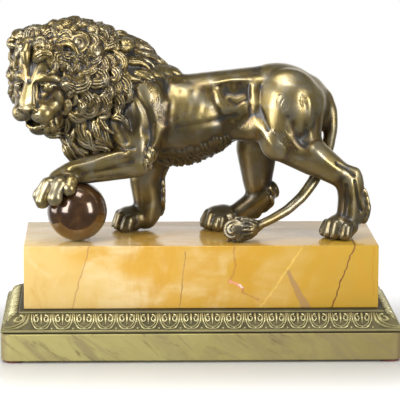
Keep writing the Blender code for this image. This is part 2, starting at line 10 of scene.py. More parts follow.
import bmesh
import bpy
import numpy as np
from mathutils import Matrix, Vector
from mathutils.bvhtree import BVHTree
from mathutils.noise import noise


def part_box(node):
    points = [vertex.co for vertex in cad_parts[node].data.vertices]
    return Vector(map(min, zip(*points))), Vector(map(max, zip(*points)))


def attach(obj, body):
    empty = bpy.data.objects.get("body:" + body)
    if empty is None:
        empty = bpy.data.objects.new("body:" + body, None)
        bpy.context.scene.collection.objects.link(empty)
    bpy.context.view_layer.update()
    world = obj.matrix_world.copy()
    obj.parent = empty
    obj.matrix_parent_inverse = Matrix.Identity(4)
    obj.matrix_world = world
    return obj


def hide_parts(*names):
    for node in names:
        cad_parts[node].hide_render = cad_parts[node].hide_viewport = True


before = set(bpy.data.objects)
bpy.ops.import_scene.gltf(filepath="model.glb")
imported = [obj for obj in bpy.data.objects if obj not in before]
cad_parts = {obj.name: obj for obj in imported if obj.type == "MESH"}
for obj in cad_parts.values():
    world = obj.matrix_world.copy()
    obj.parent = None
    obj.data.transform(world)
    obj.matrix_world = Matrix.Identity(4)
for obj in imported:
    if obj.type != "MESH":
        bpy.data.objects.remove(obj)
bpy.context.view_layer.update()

MM = 0.001
PLINTH_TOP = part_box("marble_plinth")[1].z / MM
BALL_LOW, BALL_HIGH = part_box("ball")
BALL_RADIUS = (BALL_HIGH.x - BALL_LOW.x) / 2 / MM
BALL_CENTRE = (BALL_LOW + BALL_HIGH) / 2 / MM - Vector((0, 0, PLINTH_TOP))
print("nodes:", sorted(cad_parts), "plinth top", round(PLINTH_TOP, 1), "mm")

# %% [markdown]
# ## The camera
# The photograph was taken from a little to the left of the middle and a little above, with a long lens
# about two and a half metres away. The plinth's verticals stay almost upright, and its left end can just
# be seen.

# %% Camera
CAMERA_DISTANCE = 2460.0
CAMERA_HEIGHT = 469.0
CAMERA_DROP = 422.0
CAMERA_X = -90.0
PLINTH_FRONT = -69.5
CAMERA_YAW = math.radians(-1.16)
SENSOR = 36.0
PICTURE_WIDTH = 400
PICTURE_SHIFT = 0.0965


def linked(name, data):
    """A new object around some data, put into the scene."""
    made = bpy.data.objects.new(name, data)
    bpy.context.scene.collection.objects.link(made)
    return made


camera_data = bpy.data.cameras.new("camera")
camera = linked("camera", camera_data)
bpy.context.scene.camera = camera
tilt = math.atan(CAMERA_DROP / CAMERA_DISTANCE)
camera.location = Vector((CAMERA_X, PLINTH_FRONT - CAMERA_DISTANCE, PLINTH_TOP + CAMERA_HEIGHT)) * MM
camera.rotation_euler = (math.pi / 2 - tilt, 0, CAMERA_YAW)
camera_data.sensor_width = SENSOR
camera_data.lens = SENSOR * CAMERA_DISTANCE / math.cos(tilt) / PICTURE_WIDTH
camera_data.shift_x = PICTURE_SHIFT
print("lens", round(camera_data.lens, 1), "mm")

# %% [markdown]
# ## Node helpers
# The room's light and every finish are small nets of nodes. These helpers keep each net short: one makes a
# node and joins its inputs, one makes a colour ramp, and one makes a noise that follows the object in
# millimetres.

# %% Nodes
class Nodes:
    """A node tree whose nodes are made and joined in one line each."""

    def __init__(self, tree):
        self.tree = tree

    def put(self, value, socket):
        """Joins an output to a socket, or sets the socket where the value is a constant."""
        if isinstance(value, bpy.types.NodeSocket):
            self.tree.links.new(value, socket)
        else:
            socket.default_value = value

    def add(self, kind, values=None, **settings):
        made = self.tree.nodes.new(kind)
        for key, value in settings.items():
            setattr(made, key, value)
        for key, value in (values or {}).items():
            self.put(value, made.inputs[key])
        return made

    def maths(self, operation, first, second, clamp=False):
        values = {0: first, 1: second}
        return self.add("ShaderNodeMath", values, operation=operation, use_clamp=clamp).outputs[0]

    def times(self, first, second, clamp=False):
        return self.maths("MULTIPLY", first, second, clamp)

    def plus(self, first, second, clamp=False):
        return self.maths("ADD", first, second, clamp)

    def minus(self, first, second, clamp=False):
        return self.maths("SUBTRACT", first, second, clamp)

    def vector(self, operation, **values):
        """Vector maths. The inputs are a, b and scale, as far as the operation has them."""
        keys = {"a": 0, "b": 1, "scale": "Scale"}
        made = self.add("ShaderNodeVectorMath", {keys[k]: v for k, v in values.items()}, operation=operation)
        return made.outputs["Value" if operation in ("DOT_PRODUCT", "LENGTH", "DISTANCE") else 0]


print("node tools ready")

# %% Materials
class Net(Nodes):
    """A material's nodes, around its one shader."""

    def __init__(self, name):
        self.material = bpy.data.materials.new(name)
        self.material.use_nodes = True
        super().__init__(self.material.node_tree)
        self.shader = self.tree.nodes["Principled BSDF"]
        self.place = self.add("ShaderNodeTexCoord").outputs["Object"]

    def mapped(self, vector, **values):
        values = {key.capitalize(): value for key, value in values.items()}
        return self.add("ShaderNodeMapping", {"Vector": vector, **values}).outputs[0]

    def noise(self, size_mm, detail=4.0, rough=0.55, warp=0.0, stretch=(1, 1, 1)):
        values = {"Vector": self.mapped(self.place, scale=stretch), "Scale": 1000.0 / size_mm}
        values |= {"Detail": detail, "Roughness": rough, "Distortion": warp}
        return self.add("ShaderNodeTexNoise", values).outputs["Fac"]

    def ramp(self, factor, stops, smooth=False):
        made = self.add("ShaderNodeValToRGB", {"Fac": factor})
        if smooth:
            made.color_ramp.interpolation = "EASE"
        elements = made.color_ramp.elements
        while len(elements) < len(stops):
            elements.new(0.5)
        for element, (place, colour) in zip(elements, stops):
            element.position = place
            element.color = (*colour, 1.0) if isinstance(colour, tuple) else (colour, colour, colour, 1.0)
        return made.outputs["Color"]

    def mix(self, factor, first, second):
        """The first colour where the factor is nought and the second where it is one."""
        first, second = [(*c, 1.0) if isinstance(c, tuple) else c for c in (first, second)]
        return self.add("ShaderNodeMix", {0: factor, 6: first, 7: second}, data_type="RGBA").outputs[2]

    def attribute(self, name):
        return self.add("ShaderNodeAttribute", attribute_name=name).outputs["Fac"]

    def bump(self, height, strength, depth_mm):
        values = {"Height": height, "Strength": strength, "Distance": depth_mm * MM}
        return self.add("ShaderNodeBump", values).outputs["Normal"]

    def coat(self, weight, ior, rough):
        for name, value in (("Weight", weight), ("IOR", ior), ("Roughness", rough)):
            self.shader.inputs["Coat " + name].default_value = value

    def finish(self, **inputs):
        for key, value in inputs.items():
            self.put(value, self.shader.inputs[key.replace("_", " ")])
        return self.material


print("material tools ready")

# %% [markdown]
# ## Light
# Bronze shows what it reflects, so the lights are large soft panels: a tall one on each side in front,
# whose white gleams lie on the ribs, the haunch and the ball, a wide one above and one more at the far
# left. The room is white behind the object and dark in front of it, as a photographer would hang black
# cloth around the camera to keep the modelling of the metal strong.

# %% Lights
def panel(name, place, aim, size, power):
    """A rectangular soft light, in metres and watts."""
    data = bpy.data.lights.new(name, "AREA")
    data.shape = "RECTANGLE"
    data.size, data.size_y = size
    data.energy = power
    light = linked(name, data)
    light.location = place
    light.rotation_mode = "QUATERNION"
    light.rotation_quaternion = (Vector(aim) - Vector(place)).to_track_quat("-Z", "Y")


panel("left_softbox", (-1.15, -1.0, 0.72), (0, 0, 0.22), (0.6, 1.15), 19)
panel("right_softbox", (1.18, -0.98, 0.62), (0, 0, 0.22), (0.45, 1.0), 12)
panel("top_panel", (-0.15, -0.35, 1.6), (0, 0, 0.1), (0.9, 0.45), 8)
panel("left_side", (-1.6, 0.2, 0.45), (0, 0, 0.2), (0.75, 0.9), 9)

# %% Room
MATT_LIGHT = 0.8
DIMMEST_GLEAM = 0.12
WHITE = (1, 1, 1, 1)

world = bpy.data.worlds.new("room")
bpy.context.scene.world = world
world.use_nodes = True
world.node_tree.nodes.clear()
room = Nodes(world.node_tree)


def fade(source, low, high, low_value, high_value):
    """A smooth change from one value to another while a direction's part goes from low to high."""
    values = {"Value": source, "From Min": low, "From Max": high, "To Min": low_value, "To Max": high_value}
    return room.add("ShaderNodeMapRange", values, interpolation_type="SMOOTHSTEP").outputs[0]


def background(colour, strength=1.0):
    return room.add("ShaderNodeBackground", {"Color": colour, "Strength": strength}).outputs[0]


way = room.add("ShaderNodeSeparateXYZ", {0: room.add("ShaderNodeTexCoord").outputs["Generated"]}).outputs
rays = room.add("ShaderNodeLightPath").outputs
behind = fade(way["Y"], 0.45, 0.9, 0.04, 0.9)
low_down = fade(way["Z"], 0.3, 0.62, 1.0, 0.07)
gleam = background(room.maths("MAXIMUM", room.times(behind, low_down), DIMMEST_GLEAM))
matt = background(WHITE, MATT_LIGHT)
lit = room.add("ShaderNodeMixShader", {0: rays["Is Glossy Ray"], 1: matt, 2: gleam}).outputs[0]
seen = room.add("ShaderNodeMixShader", {0: rays["Is Camera Ray"], 1: lit, 2: background(WHITE)}).outputs[0]
room.add("ShaderNodeOutputWorld", {"Surface": seen})
bpy.context.scene.view_settings.view_transform = "Standard"
print("room: white behind, dark in front for reflections")

# %% [markdown]
# ## Laying up clay
# A sculptor builds a figure from overlapping lumps and then works them into one skin. Here each lump is a
# tapered limb or an egg, and a voxel remesh fuses them. This keeps every form adjustable by a few numbers,
# which neither a scanned mesh nor a list of points would.

# %% Clay
class Clay:
    """Overlapping closed lumps, laid up before they are fused into one skin. Millimetres."""

    def __init__(self):
        self.points = []
        self.faces = []
        self.count = 0

    def add(self, points, faces):
        points = np.asarray(points, float)
        self.points.append(points)
        self.faces.extend(tuple(i + self.count for i in face) for face in faces)
        self.count += len(points)

    def rings(self, rings, first_pole, last_pole):
        """A closed skin over a stack of rings, with one point at each end."""
        rings = np.asarray(rings, float)
        rows, sides = rings.shape[:2]
        points = np.vstack([first_pole, rings.reshape(-1, 3), last_pole])
        last = len(points) - 1
        faces = []
        for side in range(sides):
            after = (side + 1) % sides
            faces.append((0, 1 + after, 1 + side))
            for row in range(rows - 1):
                low = 1 + row * sides
                faces.append((low + side, low + after, low + sides + after, low + sides + side))
            top = 1 + (rows - 1) * sides
            faces.append((last, top + side, top + after))
        self.add(points, faces)

    def limb(self, start, start_radius, end, end_radius, flat=1.0, across=(0, 1, 0), sides=18):
        """Two balls joined by the cone that touches both, pressed to flat times its width along across."""
        start = Vector(start)
        end = Vector(end)
        along = end - start
        length = max(along.length, 0.01)
        lean = math.asin(max(-0.99, min(0.99, (start_radius - end_radius) / length)))
        low = -math.pi / 2 + (math.pi / 2 + lean) * np.arange(1, 6) / 5
        high = lean + (math.pi / 2 - lean) * np.arange(5) / 5
        heights = np.concatenate([start_radius * np.sin(low), length + end_radius * np.sin(high)])
        radii = np.concatenate([start_radius * np.cos(low), end_radius * np.cos(high)])
        direction = along.normalized() if along.length > 0.01 else Vector((0, 0, 1))
        side = Vector(across) - direction * Vector(across).dot(direction)
        side = side.normalized() if side.length > 0.01 else direction.orthogonal().normalized()
        other = np.array(direction.cross(side))
        turns = 2 * np.pi * np.arange(sides) / sides
        round_ = np.array(side) * (flat * np.cos(turns))[:, None] + other * np.sin(turns)[:, None]
        centres = np.array(start) + np.array(direction) * heights[:, None]
        rings = centres[:, None, :] + round_[None] * radii[:, None, None]
        self.rings(rings, np.array(start - direction * start_radius), np.array(end + direction * end_radius))

    def chain(self, joints, flat=1.0, across=(0, 1, 0), sides=18):
        """A run of limbs through (point, radius) pairs."""
        for (start, start_radius), (end, end_radius) in zip(joints, joints[1:]):
            self.limb(start, start_radius, end, end_radius, flat, across, sides)

    def egg(self, centre, radii, turn=(0, 0, 0)):
        """An ellipsoid, turned by angles about X, Y and Z in degrees."""
        rotation = Matrix.Rotation(math.radians(turn[2]), 3, "Z")
        rotation = rotation @ Matrix.Rotation(math.radians(turn[1]), 3, "Y")
        rotation = np.array(rotation @ Matrix.Rotation(math.radians(turn[0]), 3, "X"))
        low = -np.pi / 2 + np.pi * np.arange(1, 14) / 14
        turns = 2 * np.pi * np.arange(26) / 26
        ring = np.stack([np.cos(turns), np.sin(turns), np.ones(26)], 1)
        rings = ring[None] * np.stack([np.cos(low), np.cos(low), np.sin(low)], 1)[:, None, :]
        rings = (rings * np.array(radii)) @ rotation.T + np.array(centre)
        pole = rotation @ np.array((0, 0, radii[2]))
        self.rings(rings, np.array(centre) - pole, np.array(centre) + pole)


print("clay tools ready")

# %% Meshes in and out
def mesh_object(name, points, faces):
    mesh = bpy.data.meshes.new(name)
    mesh.from_pydata(np.asarray(points).tolist(), [], faces)
    return linked(name, mesh)


def built_object(name, built):
    """An object around a bmesh, which is then freed."""
    mesh = bpy.data.meshes.new(name)
    built.to_mesh(mesh)
    built.free()
    return linked(name, mesh)


def column(items, name, width=3, kind=np.float32):
    """One property of a mesh's points, edges or normals, a row for each."""
    values = np.empty(len(items) * width, kind)
    items.foreach_get(name, values)
    return values.reshape(-1, width)


def store(mesh, name, values):
    """Keeps a value from nought to one at each of a mesh's points, for a material to read."""
    values = np.clip(values, 0, 1).astype(np.float32)
    mesh.attributes.new(name, "FLOAT", "POINT").data.foreach_set("value", values)


def final_mesh(made):
    graph = bpy.context.evaluated_depsgraph_get()
    return bpy.data.meshes.new_from_object(made.evaluated_get(graph))


print("mesh tools ready")

# %% Fusing
def evaluated(made):
    """The points and faces of an object with its modifiers, which is then removed."""
    mesh = final_mesh(made)
    points = column(mesh.vertices, "co").astype(float)
    faces = [tuple(p.vertices) for p in mesh.polygons]
    bpy.data.objects.remove(made)
    bpy.data.meshes.remove(mesh)
    return points, faces


def fused(clay, voxel, smoothing):
    """The clay's lumps as one skin, with the creases between them eased."""
    made = mesh_object("clay", np.concatenate(clay.points), clay.faces)
    remesh = made.modifiers.new("fuse", "REMESH")
    remesh.mode = "VOXEL"
    remesh.voxel_size = voxel
    ease = made.modifiers.new("ease", "SMOOTH")
    ease.iterations = smoothing
    ease.factor = 0.5
    return evaluated(made)


print("fusing tools ready")

# %% [markdown]
# ## The lion's body
# The body is laid up in millimetres above the plinth. It looks towards -X, so its left side is at -Y and
# faces the camera. The trunk is a deep chest, a drawn-up waist and a heavy haunch.

# %% Trunk and belly
NEAR = -1.0
FAR = 1.0


def lay_trunk(clay):
    clay.egg((-20, 0, 120), (62, 39, 42))
    clay.egg((-62, 0, 123), (44, 42, 48))
    clay.egg((-14, 0, 100), (49, 26, 22))
    clay.egg((34, 0, 131), (50, 31, 34), (0, 6, 0))
    clay.egg((82, 0, 138), (46, 35, 37), (0, 8, 0))
    clay.egg((106, 0, 132), (28, 29, 33))
    clay.limb((-95, -3, 157), 44, (-24, 0, 137), 25, 0.85)
    clay.limb((-78, 0, 148), 41, (-36, 0, 141), 30, 0.7)
    clay.limb((-30, 0, 137), 25, (62, 0, 146), 26)
    for side in (NEAR, FAR):
        clay.limb((32, side * 12, 111), 13, (78, side * 25, 114), 17)


def belly_edge(x):
    """How low the hair under the belly hangs at x."""
    return 68 + 0.007 * (x + 27) ** 2


def lay_belly_core(clay):
    """The soft keel of hair that the belly's locks are laid on."""
    for i in range(12):
        x = -50 + i * 7.5
        tip = belly_edge(x)
        clay.chain([((x - 3, 0, tip + 17), 9), ((x, 0, tip + 9), 6.5), ((x + 3, 0, tip + 6), 4)], 1.5)


print("trunk and fringe ready")

# %% Legs and tail
def lay_near_hind_leg(clay):
    clay.egg((88, -18, 131), (37, 24, 41), (0, 12, 0))
    clay.limb((91, -20, 137), 33, (80, -30, 100), 21, 0.8)
    clay.limb((106, -16, 138), 22, (108, -24, 100), 15, 0.8)
    clay.limb((108, -24, 98), 15, (134, -27, 74), 8, 0.7)
    clay.limb((81, -30, 100), 20, (116, -29, 82), 18.5, 0.8)
    clay.limb((114, -29, 84), 18.5, (146, -27, 63), 12.5, 0.85)
    clay.limb((134, -26, 76), 4.5, (159, -27, 68), 5.5)
    clay.limb((154, -27, 61), 10, (158, -27, 64), 6)
    clay.chain([((150.5, -27, 58), 12.8), ((152, -27, 42), 11.6), ((151, -27, 22), 12.3)])
    clay.chain([((161, -27, 62), 6), ((163.5, -27, 46), 5), ((166.5, -26, 30), 6), ((164, -26, 19), 5)])


def lay_far_hind_leg(clay):
    clay.egg((76, 18, 124), (36, 22, 40))
    clay.limb((70, 22, 114), 28, (59.5, 27, 86), 20.5, 0.8)
    clay.limb((59, 27, 86), 20.5, (61.5, 28, 48), 15, 0.9)
    clay.limb((74, 27, 78), 8, (71, 28, 42), 5)
    clay.limb((66, 28, 42), 11.5, (69, 28, 40), 6)
    clay.chain([((69, 28, 37), 13.2), ((54, 28, 25), 12.2), ((38, 27, 14), 11.5)])
    clay.limb((70, 30, 34), 5, (60, 31, 16), 7)


def lay_far_foreleg(clay):
    clay.limb((-54, 26, 120), 26, (-44, 26, 86), 19, 0.8)
    clay.limb((-45, 26, 86), 20, (-56, 24, 54), 16)
    clay.limb((-56, 24, 54), 16, (-53, 24, 28), 14)
    clay.limb((-53, 24, 30), 14, (-55, 23, 15), 14)
    clay.chain([((-43, 25, 64), 5), ((-42, 25, 44), 5.5), ((-42, 25, 26), 5.5), ((-43, 25, 14), 4.5)])


def lay_near_foreleg(clay):
    clay.egg((-60, -26, 128), (29, 18, 40), (0, -8, 0))
    clay.limb((-76, -30, 120), 21, (-62, -36, 88), 16, 0.8)
    clay.limb((-46, -30, 118), 14, (-58, -36, 86), 12, 0.8)
    clay.chain([((-64, -38, 79), 14.5), ((-98, -39, 75.5), 15), ((-130, -40, 69.5), 12.5)], 0.88)
    clay.limb((-130, -40, 69.5), 12.5, (-144, -43, 63), 11)


TAIL = [
    ((100, 0, 156), 12),
    ((114, -1, 151), 10),
    ((128.5, -2, 140), 8.5),
    ((134, -3, 126), 7.8),
    ((135, -4, 109), 7.3),
    ((131.5, -5, 90), 7.2),
    ((125, -7, 72.5), 7),
    ((116.5, -12, 56), 6.6),
    ((104.5, -19, 41.5), 6.2),
    ((89, -28, 29.5), 5.7),
    ((72.5, -38, 22), 5.4),
    ((58, -45.5, 17), 5.2),
]


def lay_tail(clay):
    clay.chain(TAIL)
    clay.limb((58, -45.5, 16), 6, (45, -48, 14), 10)
    clay.limb((45, -48, 14), 10, (35, -50, 13.5), 9.5)


print("legs and tail ready")

# %% [markdown]
# ## Paws
# A lion's toes are plump round lobes with deep clefts between them, and the claws barely show. They are
# laid on after the smooth masses, so that the clefts stay sharp. The raised paw bends down around the
# ball.

# %% Paws
# Each paw on the plinth: its ankle, its turn from -X towards -Y in degrees and its width
PAWS = [(Vector((148, -26, 14)), 38, 37), (Vector((27, 27, 14)), 22, 39), (Vector((-65, 23, 14)), 12, 42)]
UP = Vector((0, 0, 1))


def out_at(degrees):
    """A level way, turned from -X towards -Y."""
    angle = math.radians(degrees)
    return Vector((-math.cos(angle), -math.sin(angle), 0))


def lay_paw_pad(clay, ankle, turned):
    ahead = out_at(turned)
    side = UP.cross(ahead)
    clay.limb(ankle, 12.5, ankle + ahead * 9, 11.5, 1.35, side)
    clay.limb(ankle + ahead * 4 - UP * 5, 10, ankle + ahead * 12 - UP * 5, 9.5, 1.65, side)


def lay_toes(clay, ankle, turned, width):
    """Four round toes, flat on the plinth, ahead of the ankle."""
    ahead = out_at(turned)
    side = UP.cross(ahead)
    pitch = width / 4
    for toe in range(4):
        off = side * (toe - 1.5) * pitch
        middle = toe in (1, 2)
        reach = 24.0 if middle else 20.0
        root = ankle + off * 0.7 + ahead * 5
        root.z = 17.0 if middle else 14.0
        knuckle = ankle + ahead * (reach - 9) + off
        knuckle.z = 16.0 if middle else 13.5
        tip = ankle + ahead * (reach - 6.3) + off * 1.08
        tip.z = 7.6
        clay.limb(root, 5.5, knuckle, 6.3)
        clay.limb(knuckle, 6.3, tip, 6.4)
        claw = tip + ahead * 5.2 + Vector((0, 0, -1.5))
        clay.chain([(claw, 1.5), (claw + ahead * 0.9 - Vector((0, 0, 1.8)), 0.9)])


# Each raised toe: degrees from -X towards -Y, then how far out and how high its knuckle and tip are
RAISED_TOES = [
    (-8, 30, 57.5, 38.5, 46.0, 7.3),
    (25, 30, 60.0, 38.0, 44.0, 7.9),
    (53, 28, 61.5, 36.0, 49.0, 7.9),
    (72, 20, 63.0, 25.5, 57.5, 7.2),
]


def lay_raised_pad(clay):
    clay.egg((-139, -44, 63.5), (18, 17, 9.5), (0, -18, 40))


def lay_raised_toes(clay):
    axis = Vector((BALL_CENTRE.x, BALL_CENTRE.y, 0))
    for degrees, knuckle_out, knuckle_high, tip_out, tip_high, thick in RAISED_TOES:
        out = out_at(degrees)
        knuckle = axis + out * knuckle_out + Vector((0, 0, knuckle_high))
        tip = axis + out * tip_out + Vector((0, 0, tip_high))
        waist = knuckle.lerp(tip, 0.55) + out * 1.2
        clay.limb(Vector((-134, -42, 63)), 8, knuckle, thick * 0.92)
        clay.limb(knuckle, thick, waist, thick * 0.8)
        clay.limb(waist, thick * 0.8, tip, thick)
        claw = tip + out * 4.6 - Vector((0, 0, 4.2))
        clay.chain([(claw, 1.7), (claw - Vector((0, 0, 1.6)), 1.0)])


print("paws ready")

# %% [markdown]
# ## The head
# The head is laid up in its own axes, X to the lion's left cheek, -Y ahead and Z up, and then turned so
# that it looks two thirds of the way from straight ahead to the camera, and bowed. A lion's face is a long
# flat nose bridge, two forehead lobes with a furrow between them, deep eyes and two full whisker pads.

# %% Head
HEAD_CENTRE = Vector((-155, -24, 163))
HEAD_YAW = 30.0
HEAD_PITCH = 12.0
HEAD_TURN = Matrix.Rotation(math.radians(-HEAD_YAW), 4, "Z")
HEAD_TURN = HEAD_TURN @ Matrix.Rotation(math.radians(HEAD_PITCH), 4, "X")
HEAD_PLACE = Matrix.Translation(HEAD_CENTRE) @ HEAD_TURN
HEAD_WAY = HEAD_TURN.to_3x3()


class HeadClay(Clay):
    """Clay laid up in the head's own axes."""

    def both(self, start, start_radius, end, end_radius, flat=1.0, across=(0, 1, 0)):
        for side in (-1, 1):
            mirror = Vector((side, 1, 1))
            self.limb(Vector(start) * mirror, start_radius, Vector(end) * mirror, end_radius, flat, across)

    def both_eggs(self, centre, radii, turn=(0, 0, 0)):
        for side in (-1, 1):
            place = (side * centre[0], centre[1], centre[2])
            self.egg(place, radii, (turn[0], side * turn[1], side * turn[2]))

    def placed(self):
        place = np.array(HEAD_PLACE)
        return np.concatenate(self.points) @ place[:3, :3].T + place[:3, 3]


def lay_head_masses(clay):
    clay.egg((0, 2, 5), (31, 30, 33))
    clay.both_eggs((9.2, -17, 20), (9.4, 10.5, 19), (-14, 0, 0))
    clay.both((6.2, -24, 14), 5.4, (4.8, -30, 3), 5)
    clay.both((8, -28.5, 8), 3.0, (14, -26.5, 10.5), 4.5)
    clay.both((14, -26.5, 10.5), 4.5, (22, -19, 7), 4.6)
    clay.both((18, -22, 8), 5, (24, -11, 1), 5)
    clay.both((3.4, -28, 6), 5.0, (5.0, -40, -13), 5.2)
    clay.limb((0, -27.5, 6), 6.0, (0, -40.5, -14), 6.2)
    clay.both_eggs((10.6, -32.5, -25.2), (12.4, 12.6, 10.4), (0, 0, 16))
    clay.both_eggs((19.4, -12.5, -11), (10.4, 14.6, 17))
    clay.both((12, -25, -8), 6.5, (25, -11, 0), 9)
    clay.both((6, -32, -16), 7.5, (15, -22, -20), 11)
    clay.both((23, -2, -18), 9, (9, -19, -42), 8)
    clay.egg((0, -24, -44), (11.5, 10.5, 7.5))


def lay_face(clay):
    """The eyes, their lids, the nose, the lips and a tooth, which keep crisper edges."""
    clay.both_eggs((15.4, -25.2, 0.2), (6.8, 6.4, 5.0))
    for side in (-1, 1):
        upper = []
        lower = []
        for i in range(6):
            angle = math.pi * i / 5
            x = 15.6 - 8.6 * math.cos(angle)
            y = -30.6 + 1.0 * abs(x - 13) ** 1.25 / 2.2
            drop = 1.4 - 0.09 * x
            upper.append((Vector((side * x, y, drop + 3.3 * math.sin(angle))), 1.3))
            lower.append((Vector((side * x, y + 0.6, drop - 0.6 - 2.7 * math.sin(angle))), 0.95))
        clay.chain(upper)
        clay.chain(lower)
    clay.egg((0, -43.8, -17.2), (10.2, 4.2, 3.2))
    clay.both_eggs((8, -42.2, -18.8), (3.4, 4, 3.0))
    clay.limb((0, -43.8, -18.5), 4.4, (0, -42, -27), 2.0)
    clay.both((2, -35.5, -40.5), 2.5, (8.5, -32, -39.5), 2.2)
    clay.both((8.5, -32, -39.5), 2.2, (15, -23, -35.5), 1.5)
    clay.both((9.5, -34.5, -33), 1.8, (9.2, -34, -38), 1.0)
    for side in (-1, 1):
        rim = []
        for i in range(9):
            angle = math.pi * (i / 8 * 1.25 - 0.12)
            rim.append((Vector((side * (29 + 9 * math.cos(angle)), 1, 27 + 10 * math.sin(angle))), 3.0))
        clay.chain(rim)


# Grooves in the face for its left side: depth, half width and the points on the way
FACE_GROOVES = [
    (2.2, 2.0, [(0, -32, 36), (0, -34, 20), (0, -34, 8)]),
    (2.2, 1.2, [(0, -46, -22), (0, -44, -32)]),
    (3.8, 1.9, [(0, -42, -35.8), (9, -39, -36.4), (17, -30, -33.5), (22, -22, -27)]),
    (2.6, 1.2, [(7.6, -46, -19.3), (3.8, -47, -22.6)]),
    (1.5, 1.4, [(6.3, -33, 5), (8.5, -38, -8), (11, -39, -16)]),
    (0.9, 0.8, [(12, -43, -21), (18, -36, -19)]),
    (0.9, 0.8, [(12, -44.5, -24.5), (19, -36, -22.5)]),
    (0.9, 0.8, [(12, -45, -28), (19, -35.5, -26)]),
    (1.6, 1.5, [(18, -27, 15), (11, -30, 17), (8, -31, 26)]),
    (1.3, 1.2, [(24, -20, -4), (18, -27, -8), (13, -32, -14)]),
    (1.6, 1.5, [(7.5, -31, 5.5), (10, -30, 1.5), (13, -30, -3)]),
    (1.4, 0.8, [(13.6, -31, 0.6), (15.4, -31, 1.9), (17, -30.5, 0.6), (15.4, -31, -0.7), (13.6, -31, 0.6)]),
    (3.5, 4.0, [(27, 0, 27), (31, 0, 26)]),
    (1.2, 1.6, [(26, -14, 10), (27, -10, 0), (24, -12, -8)]),
]
print("head ready")

# %% [markdown]
# ## The mane
# The mane is some two hundred and fifty locks over a plain core. Each lock starts low under its
# neighbours, follows the skin away from the face, swells, and hooks over at a pointed tip. Its top is
# combed into four or five strands, because that fine combing is what catches the light. The locks are
# spread evenly and then varied: size, length and the way that each one curls.

# %% Mane core
def lay_mane_base(clay):
    clay.limb((-64, 0, 143), 40, (-118, -6, 153), 47, 0.95)
    clay.limb((-112, -4, 190.5), 21.5, (-66, 0, 176.5), 19.5)
    clay.egg((-130, -6, 168), (47, 41, 48))
    clay.egg((-144, -6, 160), (45, 41, 48))
    clay.egg((-163, -2, 179), (24, 29, 30))
    clay.chain([((-170, -6, 190), 13), ((-181, -9, 197), 6.5), ((-187, -10, 199), 4.5)])
    clay.limb((-174, 0, 162), 14, (-178, -2, 147), 11)
    clay.limb((-104, -8, 118), 36, (-123, -13, 93), 12.5)
    clay.limb((-142, -18, 124), 12, (-149, -27, 112), 7)


def mane_covers(point, ahead):
    """Whether a point of the clay's skin is under the mane. ahead is the point in the head's own axes."""
    rise = ahead.z / (30 if ahead.z > 0 else 56)
    if ahead.y < 0 and (ahead.x / 31) ** 2 + rise**2 < 1:
        return False
    if point.z < 80 or point.x < -152 + max(0, 106 - point.z) - 60 * min(1, max(0, (point.z - 104) / 10)):
        return False
    if point.y < -16 and point.z < 106 and (point.x > -106 or point.z < 93):
        return False
    side_edge = -76 - max(0, 150 - point.z) * 0.42
    crest_edge = -42
    crest = min(1, max(0, (point.z - 168) / 22))
    return point.x < side_edge + (crest_edge - side_edge) * crest


def mane_flow(point, ahead):
    """The way that a lock lies at a point, away from the face and down the neck."""
    away = HEAD_WAY @ Vector((ahead.x, 14, ahead.z + 4)).normalized()
    behind = Vector((1, 0, -0.35)) * min(1, max(0, (point.x + 135) / 50))
    fall = Vector((0, 0, -1)) * (0.9 if point.z < 150 else 0.35)
    return away + behind + fall


print("mane core ready")

# %% One lock
LOCK_STEPS = 16
LOCK_DEPTH = 6.0
LOCK_LEAN = 0.22


def lock_section(strands):
    """Across and up of a lock's section, one unit wide and high: combed on top and plain below."""
    across = np.linspace(-1, 1, strands * 6 + 1)
    comb = np.abs(np.sin(np.pi * strands * (across + 1) / 2)) ** 1.1
    up = np.sqrt(np.maximum(0, 1 - across**2)) ** 0.85 * (0.42 + 0.58 * comb)
    under = np.array([(0.8, -0.8), (0, -1.0), (-0.8, -0.8)])
    return np.vstack([np.stack([across, up], 1), under])


def lay_lock(clay, skin, start, flow, length, width, height, curl, strands=4, wave=False):
    """A tapered lock that follows the skin. curl is its turn in degrees, and a wave turns both ways."""
    point, normal = skin.find_nearest(start)[:2]
    heading = (flow - normal * flow.dot(normal)).normalized()
    step = length / LOCK_STEPS
    point = point - heading * step * 3
    section = lock_section(strands)
    rings = []
    for i in range(LOCK_STEPS + 1):
        part = i / LOCK_STEPS
        point, normal = skin.find_nearest(point)[:2]
        heading = (heading - normal * heading.dot(normal)).normalized()
        across = normal.cross(heading)
        wide = width * min(1, 0.5 + part * 2.2) * max(0.05, 1 - part**2.4) ** 0.8
        rise = height * (0.2 + 0.8 * math.sin(math.pi * min(1, 0.1 + part * 0.86)) ** 0.8)
        outer = 1 if curl > 0 else -1
        lean = 1 - LOCK_LEAN * outer * section[:, 0]
        up = np.where(section[:, 1] > 0, section[:, 1] * rise * lean, section[:, 1] * LOCK_DEPTH)
        ring = np.array(point) + np.outer(section[:, 0] * wide, across) + np.outer(up + rise * 0.12, normal)
        rings.append(ring)
        if wave:
            bend = curl * 2.2 * math.cos(math.pi * 2 * part) / LOCK_STEPS
        else:
            bend = curl * (0.3 + 2.0 * part**1.6) / LOCK_STEPS
        heading = Matrix.Rotation(math.radians(bend), 3, normal) @ heading
        point = point + heading * step * (1 - 0.3 * part)
    tip = rings[-1].mean(0) + np.array(heading) * 1.2
    clay.rings(rings, rings[0].mean(0), tip)


print("section points:", len(lock_section(4)))

# %% Spread of locks
LOCK_SPACING = 9.3


